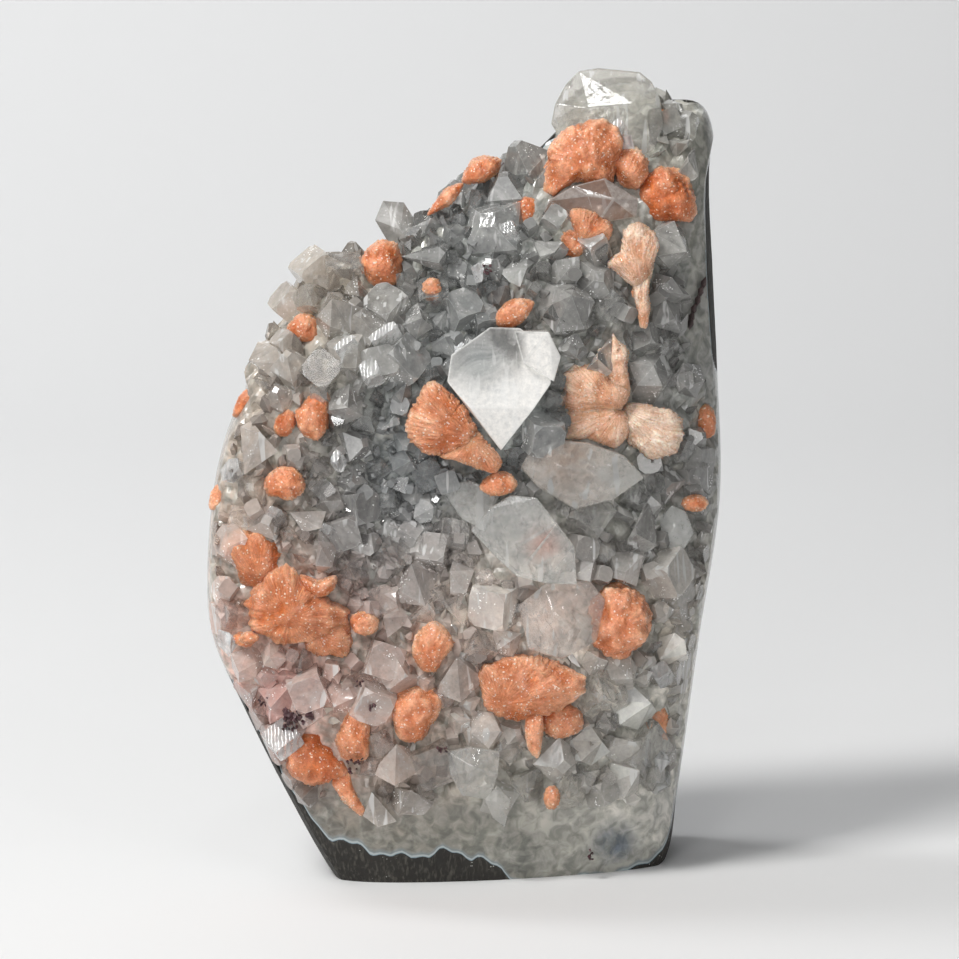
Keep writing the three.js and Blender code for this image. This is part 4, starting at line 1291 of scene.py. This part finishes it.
# Stilbites as outlines on the photograph, in its pixels. For each growth: the outline, the
# hinge that its folds spread from, its half thickness in mm, its folds and how pale it is.
STILBITES = {
    "fan_center": [
        ([(429, 383), (442, 386), (459, 402), (470, 416), (480, 434), (478, 448), (457, 452), (438, 455),
          (426, 452), (414, 445), (408, 431), (409, 414), (418, 398)], (474, 436), 4.6, 11, 0.12),
        ([(466, 425), (480, 434), (491, 447), (502, 461), (496, 474), (480, 469), (457, 461), (440, 456),
          (452, 446)], (474, 436), 3.2, 7, 0.3),
    ],
    "ball_below_center": [
        ([(480, 485), (493, 473), (507, 473), (516, 483), (510, 493), (493, 496), (483, 491)], (497, 472),
          3.2, 4, 0.2),
    ],
    "spray_right": [
        ([(561, 403), (564, 370), (581, 364), (600, 366), (610, 378), (630, 392), (622, 408), (600, 412),
          (580, 417)], (617, 404), 4.6, 6, 0.9),
        ([(561, 417), (580, 405), (610, 402), (628, 415), (628, 438), (612, 447), (592, 440), (574, 438),
          (562, 436)], (620, 408), 4.0, 6, 0.95),
        ([(598, 349), (608, 346), (613, 333), (620, 341), (628, 350), (628, 372), (630, 392), (616, 390),
          (606, 370)], (622, 402), 3.2, 4, 1.1),
        # This growth's paleness of 1.6 paints the white glare of light on it
        ([(622, 412), (636, 402), (656, 408), (680, 415), (684, 432), (679, 448), (664, 457), (644, 454),
          (628, 442)], (620, 406), 4.4, 9, 1.6),
    ],
    "ball_right": [
        ([(583, 616), (592, 596), (612, 586), (636, 590), (650, 613), (646, 640), (625, 656), (603, 655),
          (588, 641)], (612, 628), 8.0, 3, 0.15),
    ],
    "block_low": [
        ([(480, 668), (495, 659), (530, 657), (560, 664), (587, 680), (577, 698), (548, 714), (515, 722),
          (487, 708)], (500, 702), 5.5, 6, 0.14),
        ([(527, 716), (541, 714), (542, 735), (538, 758), (529, 750), (526, 733)], (534, 716), 2.2, 3, 0.1),
    ],
    "block_tail": [
        ([(540, 712), (560, 704), (582, 712), (580, 730), (560, 738), (543, 730)], (545, 715), 3.6, 4, 0.2),
    ],
    "lower_center": [
        ([(393, 698), (405, 690), (421, 687), (438, 694), (439, 706), (433, 722), (420, 742), (405, 740),
          (394, 724)], (412, 716), 5.6, 5, 0.15),
    ],
    "mid_left": [
        ([(431, 622), (444, 628), (453, 641), (445, 654), (435, 671), (420, 667), (414, 654), (417, 635)],
          (433, 668), 4.4, 5, 0.2),
    ],
    "mass_left": [
        ([(246, 600), (255, 584), (270, 570), (292, 568), (303, 581), (318, 588), (330, 600), (347, 612),
          (340, 630), (310, 640), (285, 642), (262, 634), (249, 616)], (290, 612), 8.0, 10, 0.1),
        ([(300, 575), (318, 580), (334, 576), (336, 588), (322, 596), (306, 592)], (312, 590), 4.0, 4, 0.2),
    ],
    "mass_upper": [
        ([(224, 548), (238, 533), (266, 530), (281, 542), (285, 560), (275, 577), (258, 588), (244, 581),
          (233, 563)], (258, 575), 6.4, 9, 0.06),
    ],
    "mass_lower": [
        ([(306, 626), (328, 612), (347, 622), (353, 642), (346, 656), (322, 657), (306, 647)], (318, 630),
          5.4, 6, 0.2),
        ([(350, 618), (365, 612), (378, 620), (374, 632), (354, 632)], (352, 626), 3.2, 3, 0.2),
        ([(233, 636), (244, 631), (256, 636), (253, 645), (238, 646)], (245, 640), 3.0, 3, 0.0),
    ],
    "foot_left": [
        ([(286, 750), (300, 733), (318, 728), (333, 738), (344, 758), (347, 770), (328, 781), (303, 781),
          (287, 770)], (318, 735), 6.4, 4, -0.2),
    ],
    "foot_tail": [
        ([(330, 778), (347, 771), (355, 790), (366, 812), (362, 816), (350, 806), (338, 792)], (336, 775),
          2.6, 3, 0.1),
    ],
    "foot_speckled": [
        ([(341, 722), (354, 705), (366, 716), (370, 738), (367, 757), (349, 760), (337, 742)], (354, 756),
          4.6, 5, 0.1),
    ],
    "left_ball": [
        ([(265, 481), (278, 469), (296, 468), (304, 481), (299, 496), (283, 500), (268, 494)], (285, 470),
          4.6, 5, 0.1),
    ],
    "left_upper": [
        ([(297, 411), (314, 393), (327, 401), (328, 426), (317, 440), (301, 431)], (312, 415), 4.4, 5, 0.0),
    ],
    "left_chip": [
        ([(275, 421), (288, 409), (296, 418), (288, 436), (277, 433)], (282, 432), 3.0, 3, 0.05),
    ],
    "edge_left": [
        ([(234, 416), (241, 394), (254, 389), (258, 399), (246, 413)], (250, 402), 4.0, 3, 0.0),
    ],
    "edge_left_low": [
        ([(211, 508), (213, 489), (224, 480), (236, 487), (230, 503)], (224, 500), 3.6, 5, 0.35),
    ],
    "shoulder": [
        ([(361, 258), (374, 243), (394, 244), (400, 262), (397, 283), (382, 287), (364, 275)], (380, 272),
          5.4, 5, 0.0),
    ],
    "shoulder_left": [
        ([(288, 325), (303, 314), (317, 322), (317, 340), (303, 342), (290, 337)], (302, 340), 3.8, 4, 0.0),
    ],
    "crown_large": [
        ([(544, 171), (546, 157), (558, 139), (572, 124), (596, 120), (614, 127), (624, 139), (620, 155),
          (612, 178), (599, 184), (580, 180), (561, 191), (549, 198)], (578, 172), 7.6, 5, 0.16),
    ],
    "crown_mid": [
        ([(611, 163), (620, 150), (634, 149), (646, 158), (648, 172), (636, 188), (620, 183)], (622, 182),
          5.4, 5, 0.25),
    ],
    "crown_right": [
        ([(637, 190), (646, 173), (660, 167), (678, 172), (690, 185), (695, 205), (690, 221), (665, 222),
          (645, 219)], (652, 204), 6.8, 5, -0.1),
    ],
    "upper_bow": [
        ([(570, 210), (584, 208), (601, 215), (611, 227), (607, 240), (590, 243), (580, 240), (571, 226)],
          (578, 244), 4.0, 7, 0.1),
        ([(562, 232), (576, 230), (592, 238), (588, 250), (575, 258), (562, 256), (558, 246)], (583, 238),
          3.8, 5, 0.2),
    ],
    "sheaf_right": [
        ([(608, 264), (620, 250), (624, 231), (638, 224), (654, 230), (658, 246), (654, 264), (648, 284),
          (638, 290), (622, 276)], (641, 286), 4.0, 8, 1.1),
        ([(634, 276), (649, 275), (648, 295), (650, 311), (646, 328), (640, 327), (638, 310), (634, 295)],
          (642, 332), 1.9, 6, 0.95),
    ],
    "crown_chip": [
        ([(514, 207), (521, 197), (534, 197), (542, 206), (537, 218), (525, 225), (516, 217)], (528, 212),
          3.2, 4, 0.05),
    ],
    "mid_chip": [
        ([(496, 314), (513, 299), (535, 302), (528, 313), (514, 327), (499, 326)], (505, 322),
          3.6, 4, 0.15),
    ],
    "crest": [
        ([(463, 181), (469, 165), (485, 157), (501, 160), (496, 173), (479, 182)], (480, 180),
          4.4, 4, 0.05),
    ],
    "crest_low": [
        ([(427, 216), (437, 198), (450, 186), (463, 183), (456, 197), (441, 209)], (442, 206), 3.4, 3, 0.0),
    ],
    "edge_right": [
        ([(697, 412), (706, 404), (715, 414), (714, 436), (702, 438)], (706, 430), 3.0, 3, 0.15),
    ],
    "foot_right": [
        ([(650, 705), (660, 699), (668, 714), (664, 738), (655, 742), (652, 722)], (658, 735), 2.6, 4, 0.4),
    ],
}
STILBITE_FORWARD = {"crown_large": 3.0, "crown_mid": 3.0, "crown_right": 3.0}  # mm before their solids
# Grains too small for a solid of their own: the middle, half width and half height in pixels
STILBITE_CHIPS = [
    (432, 288, 9, 10), (694, 503, 13, 8), (552, 797, 8, 12), (249, 638, 10, 6), (660, 118, 8, 9),
    (640, 292, 9, 8),
]


# Dark specks of clay in the crystals: middle, half width and half height in the photograph's pixels
STAINS = [
    (298, 716, 14, 7), (263, 700, 6, 6), (290, 727, 8, 5), (360, 684, 4, 3), (356, 761, 9, 3),
    (441, 749, 7, 3), (352, 771, 5, 3), (486, 268, 5, 6), (508, 168, 7, 5), (590, 853, 3, 7),
    (372, 706, 3, 3),
]
# The narrow dark slit at the upper right, in the photograph's pixels
SLIT = [(703, 283), (700, 291), (697, 300), (693, 309), (691, 317), (690, 323)]


CLAY_TINT = np.array((0.055, 0.018, 0.026))
SLIT_TINT = np.full(3, 0.015)
SPECK_DEPTH = 1.6


def node_front(name):
    """The y, in millimetres, of a solid's front."""
    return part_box(name)[0][1] / MM


def build_stilbites():
    for seed, (name, growths) in enumerate(STILBITES.items()):
        front = node_front("stilbite_" + name)
        heap = Heap()
        for k, (outline, hinge, thick, pleats, pale) in enumerate(growths):
            y = front + 0.85 * thick + 0.8 * k - STILBITE_FORWARD.get(name, 0)
            add_growth(heap, outline, hinge, y, thick, pleats, seed + 3 * k + 1, pale)
        own(heap.piece(f"{name}_stilbite", STILBITE, smooth=True), "stilbite", "stilbite_" + name)
    heap = Heap()
    for seed, (column, row, half_width, half_height) in enumerate(STILBITE_CHIPS):
        outline = [
            (column + half_width * math.cos(turn), row + half_height * math.sin(turn))
            for turn in np.linspace(0, 2 * math.pi, 7)[:-1]
        ]
        place = from_photo(column, row, FACE_Y)
        y = float(ROCK.front_at(place[0], place[2])) - 4
        add_growth(heap, outline, (column, row), y, 0.2 * half_width, 4, seed + 90, 0.25)
    own(heap.piece("chips_stilbite", STILBITE, smooth=True), "stilbite")


def build_stains():
    heap = Heap()
    for column, row, half_width, half_height in STAINS:
        for _ in range(4 + half_width * half_height // 4):
            spot = (column + draw.uniform(-1, 1) * half_width, row + draw.uniform(-1, 1) * half_height)
            place = from_photo(*spot, FACE_Y)
            place = from_photo(*spot, float(ROCK.front_at(place[0], place[2])) - 4.6)
            width = draw.uniform(0.9, 1.6) * (1.5 if half_width > 10 else 0.8)
            turn = upright((0, -1, 0), draw.uniform(0, FULL_TURN))
            tint = CLAY_TINT * draw.uniform(0.4, 2)
            size = np.array((width, 0.7 * width, SPECK_DEPTH))
            heap.add(draw.choice(HABITS["lump"]), turn, size, place, tint, 1.0)
    for column, row in SLIT:
        place = from_photo(column, row, SLIT_Y)
        place = from_photo(column, row, float(ROCK.front_at(place[0], place[2])) - 0.2)
        turn = upright((0.45, -0.9, 0), 0.3)
        heap.add(HABITS["lump"][0], turn, np.array((1.3, 3.4, SPECK_DEPTH)), place, SLIT_TINT, 1.0)
    own(heap.piece("clay_specks", CLAY), "basalt")


# Apophyllites as corners on the photograph, in its pixels, with how far back in mm each lies
# from the crystal's foremost point. Each list is one crystal, and some stand as two grown together.
APOPHYLLITES = {
    "center": [
        [(447, 382, 1.3), (451, 355, 2.8), (490, 327, 5.2), (520, 328, 5.9), (551, 350, 5.5),
         (551, 384, 3.8), (534, 409, 2.1), (469, 407, 0.5), (501, 451, 3.6)],
        [(514, 331, 3.4), (549, 332, 4.8), (561, 357, 5.2), (554, 382, 3.0), (523, 363, 1.6)],
    ],
    "below_center": [
        [(471, 531, 3), (490, 508, 2), (510, 495, 2), (537, 498, 1), (557, 523, 0.4), (575, 547, 1),
         (577, 585, 3.4), (547, 584, 2), (517, 577, 1.4), (497, 559, 1.4)],
        [(439, 487, 7), (470, 480, 6), (500, 494, 5), (486, 532, 5), (462, 520, 6)],
    ],
    "top": [
        [(551, 124, 8), (555, 104, 7), (566, 84, 7.6), (579, 71, 9), (598, 68, 9.6), (640, 72, 9),
         (652, 82, 8.4), (660, 98, 8), (664, 125, 7), (655, 150, 6), (620, 165, 5), (575, 165, 5),
         (588, 108, 3.6), (634, 104, 3.8), (610, 140, 3)],
    ],
    "right_smooth": [
        [(520, 468, 3), (531, 448, 3), (553, 440, 3), (588, 443, 3), (625, 456, 4), (645, 478, 6),
         (614, 500, 4), (575, 510, 4), (538, 488, 2.6), (560, 466, 0), (596, 472, 0.4)],
    ],
    "low_smooth": [
        [(518, 606, 4), (545, 584, 4), (590, 581, 5), (606, 600, 5), (597, 642, 5), (562, 660, 3),
         (528, 650, 3), (556, 614, 0), (574, 632, 0.3)],
    ],
    "upper_brown": [
        [(541, 217, 5), (549, 200, 3), (573, 186, 1.8), (605, 178, 2.4), (638, 199, 3), (637, 217, 4),
         (597, 224, 2.5), (588, 195, 0.8), (614, 199, 0)],
    ],
    "foot_white": [
        [(447, 752, 2), (470, 747, 2), (500, 752, 3), (498, 775, 2), (489, 800, 5), (462, 796, 4),
         (450, 775, 2), (474, 768, 0)],
        [(484, 800, 4), (497, 786, 4), (511, 800, 5), (505, 828, 8), (492, 818, 6), (497, 802, 2.6)],
    ],
    "right_point": [
        [(659, 518, 2.4), (672, 505, 2), (686, 512, 2), (694, 533, 2.4), (686, 547, 2), (676, 557, 3),
         (663, 541, 2), (675, 527, 0)],
    ],
}
APOPHYLLITE_TINTS = {
    "center": (0.96, 0.94, 0.91), "below_center": (0.79, 0.785, 0.755), "top": (0.66, 0.64, 0.59),
    "right_smooth": (0.97, 0.89, 0.82), "low_smooth": (0.84, 0.75, 0.70), "upper_brown": (0.36, 0.235, 0.19),
    "foot_white": (0.94, 0.92, 0.88), "right_point": (0.92, 0.93, 0.92),
}
APOPHYLLITE_FADE = {"center": 0.78, "foot_white": 0.2, "top": -0.05}  # how much darker the upper end is
# Stained or darker spots in them: x, z, radius and colour
APOPHYLLITE_SPOTS = {
    "below_center": [(18.5, 84, 2.6, (0.85, 0.50, 0.42)), (5, 88, 5, (0.70, 0.70, 0.68))],
    "right_smooth": [(24, 104, 5, (0.70, 0.52, 0.42)), (38, 100, 4, (0.95, 0.93, 0.90))],
    "low_smooth": [(20, 68, 5, (0.90, 0.72, 0.64)), (30, 62, 4, (0.60, 0.56, 0.52))],
    "center": [(8, 121, 3, (0.98, 0.97, 0.95)), (3, 128, 4, (0.30, 0.32, 0.32))],
}
APOPHYLLITE_LOOKS = {"center": MILKY_APOPHYLLITE, "upper_brown": BROWN_APOPHYLLITE}
APOPHYLLITE_SET_BACK = {"top": 9.0, "upper_brown": 2.0}
WORN_APOPHYLLITES = ("top", "right_smooth", "low_smooth", "below_center")
APOPHYLLITE_DEPTH = 13.0
FOOT_SHARE = 0.86
SHARP_EDGE, WORN_EDGE = 0.28, 0.6
FACET_ANGLE, SMOOTH_ANGLE = 9, 0.7  # degrees under which neighbouring faces are taken as one
SAME_CORNER = 0.1
FACE_INSET, LEAST_FACE_WIDTH, LONGEST_EDGE = 0.5, 1.8, 2.4


def hull_of(places, flatness):
    """The closed convex form round some places, its faces whole where they turn less than an angle."""
    bm = bmesh.new()
    for place in places:
        bm.verts.new(place)
    bmesh.ops.remove_doubles(bm, verts=bm.verts[:], dist=SAME_CORNER * MM)
    wrap(bm)
    bmesh.ops.dissolve_limit(bm, angle_limit=math.radians(flatness), verts=bm.verts[:], edges=bm.edges[:])
    return bm


def add_apophyllite(bm, corners, front, worn):
    """One crystal as the hull of its corners and of a smaller foot behind them, its edges worn."""
    places = [from_photo(column, row, front + depth) for column, row, depth in corners]
    middle = np.mean(places, axis=0)
    back = np.array((0, APOPHYLLITE_DEPTH, 0))
    behind = [middle + FOOT_SHARE * (place - middle) + back for place in places]
    sharp = hull_of([place * MM for place in places + behind], FACET_ANGLE)
    bmesh.ops.bevel(
        sharp, geom=sharp.edges[:], offset=(WORN_EDGE if worn else SHARP_EDGE) * MM, offset_type="OFFSET",
        segments=3 if worn else 2, profile=0.5, affect="EDGES", material=-1, clamp_overlap=True,
    )
    alone = hull_of([vert.co.copy() for vert in sharp.verts], SMOOTH_ANGLE)
    sharp.free()
    rim = alone.verts.layers.float.new("rim")
    for vert in alone.verts:
        vert[rim] = 0.6 if worn else 0.85
    large = [
        face for face in alone.faces
        if face.calc_area() > LEAST_FACE_WIDTH * MM * max(edge.calc_length() for edge in face.edges)
    ]
    outer = set(alone.verts)
    bmesh.ops.inset_individual(alone, faces=large, thickness=FACE_INSET * MM, depth=0.0)
    for vert in alone.verts:
        if vert not in outer:
            vert[rim] = 0.0
    bmesh.ops.triangulate(alone, faces=alone.faces[:])
    for _ in range(3):
        long = [
            edge for edge in alone.edges
            if edge.calc_length() > LONGEST_EDGE * MM and all(vert[rim] < 0.01 for vert in edge.verts)
        ]
        bmesh.ops.subdivide_edges(alone, edges=long, cuts=1)
        bmesh.ops.triangulate(alone, faces=alone.faces[:])
    bmesh.ops.recalc_face_normals(alone, faces=alone.faces[:])
    mesh = bpy.data.meshes.new("apophyllite")
    alone.to_mesh(mesh)
    alone.free()
    bm.from_mesh(mesh)
    bpy.data.meshes.remove(mesh)


def build_apophyllites():
    for name, crystals in APOPHYLLITES.items():
        front = node_front("apophyllite_" + name) + APOPHYLLITE_SET_BACK.get(name, 0)
        bm = bmesh.new()
        worn = name in WORN_APOPHYLLITES
        for corners in crystals:
            add_apophyllite(bm, corners, front, worn)
        material = APOPHYLLITE_LOOKS.get(name, CLEAR_APOPHYLLITE)
        piece = piece_of(bm, f"{name}_apophyllite", material)
        places = read_places(piece.data)
        rise = smoothstep(places[:, 2], *np.percentile(places[:, 2], (20, 75)))
        if name == "center":
            rise = rise * (1 - smoothstep(places[:, 0], 12, 15.5))
        tints = np.outer(1 - APOPHYLLITE_FADE.get(name, 0) * rise, APOPHYLLITE_TINTS[name])
        for x, z, radius, colour in APOPHYLLITE_SPOTS.get(name, ()):
            near = bump(np.hypot(places[:, 0] - x, places[:, 2] - z), radius)[:, None]
            tints += near * (np.array(colour) - tints)
        write_colour(piece.data, "tint", tints)
        write_value(piece.data, "polish", np.full(len(places), 0.3 if worn else 0.12))
        own(piece, "apophyllite", "apophyllite_" + name)


def own(piece, slot, *nodes):
    """The piece belongs to the object and stands for solids, which it hides. The slot is not used."""
    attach(piece, "root")
    if nodes:
        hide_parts(*nodes)


# Setting
FLOOR_REACH, WALL_HEIGHT, BEND = 1.8, 2.4, 1.0
FLOOR_COLOUR = (0.775, 0.78, 0.785, 1)


def build_stage():
    """A pale floor that bends up into a wall behind the object."""
    bm = bmesh.new()
    bmesh.ops.create_grid(bm, x_segments=1, y_segments=1, size=FLOOR_REACH)
    back = [edge for edge in bm.edges if all(vert.co.y > 1 for vert in edge.verts)]
    rise = bmesh.ops.extrude_edge_only(bm, edges=back)["geom"]
    raised = [v for v in rise if isinstance(v, bmesh.types.BMVert)]
    bmesh.ops.translate(bm, verts=raised, vec=(0, 0, WALL_HEIGHT))
    bend = [edge for edge in bm.edges if all(vert.co.y > 1 and vert.co.z < 0.1 for vert in edge.verts)]
    bmesh.ops.bevel(
        bm, geom=bend, offset=BEND, offset_type="OFFSET", segments=24, profile=0.5, affect="EDGES",
        material=-1,
    )
    material, _, shader = new_material("pale_floor")
    shader.inputs["Base Color"].default_value = FLOOR_COLOUR
    shader.inputs["Roughness"].default_value = 0.9
    floor = piece_of(bm, "studio_floor", material)
    for face in floor.data.polygons:
        face.use_smooth = True


# Lamps: place, aim, width, power and colour
OBJECT_MIDDLE = (0, 0, 0.09)
LAMPS = {
    "key_softbox": (KEY_LIGHT, OBJECT_MIDDLE, 0.36, 15.5, (1, 0.99, 0.97)),
    "front_softbox": ((-0.3, -1.8, 0.5), OBJECT_MIDDLE, 0.8, 8.3, (1, 0.99, 0.98)),
    "wall_light": ((-0.9, 0.5, 1.7), (-0.2, 1.8, 1.0), 1.0, 25.5, (1, 1, 1)),
}
# Small lamps whose reflections make the crystals glint
GLINT_LAMPS = [
    (-0.5, -0.85, 0.85), (-0.15, -1.1, 0.95), (0.45, -1.0, 0.8), (-0.9, -0.9, 0.45), (0.9, -0.8, 0.5),
    (0.0, -0.6, 1.2), (-0.45, -1.35, 0.3),
]


def add_lamp(name, place, aim, width, power, colour):
    light = bpy.data.lights.new(name, "AREA")
    light.shape = "RECTANGLE"
    light.size = light.size_y = width
    light.energy = power
    light.color = colour
    lamp = bpy.data.objects.new(name, light)
    lamp.location = place
    lamp.rotation_euler = (Vector(aim) - Vector(place)).to_track_quat("-Z", "Y").to_euler()
    bpy.context.collection.objects.link(lamp)


def build_light():
    for name, lamp in LAMPS.items():
        add_lamp(name, *lamp)
    for k, place in enumerate(GLINT_LAMPS):
        add_lamp(f"glint_lamp_{k}", place, OBJECT_MIDDLE, 0.08, 0.45, (1, 1, 1))
    world = bpy.data.worlds.new("studio")
    world.use_nodes = True
    sky = world.node_tree.nodes["Background"].inputs
    sky["Color"].default_value = (0.95, 0.97, 1, 1)
    sky["Strength"].default_value = 0.06
    bpy.context.scene.world = world
    bpy.context.scene.view_settings.view_transform = "Standard"


def build_camera():
    camera = bpy.data.objects.new("camera", bpy.data.cameras.new("camera"))
    camera.location = EYE
    camera.rotation_euler = (-AWAY).to_track_quat("-Z", "Y").to_euler()
    camera.data.sensor_width = SENSOR_WIDTH
    camera.data.lens = SENSOR_WIDTH * CAMERA_DISTANCE / VIEW_WIDTH
    camera.data.clip_end = 20
    bpy.context.collection.objects.link(camera)
    bpy.context.scene.camera = camera


build_camera()
build_light()
build_stage()
bed, basalt = build_rock()
own(bed, "quartz", "crystal_crust")
own(basalt, "basalt", "basalt_matrix")
build_crystals()
build_apophyllites()
build_stilbites()
build_stains()
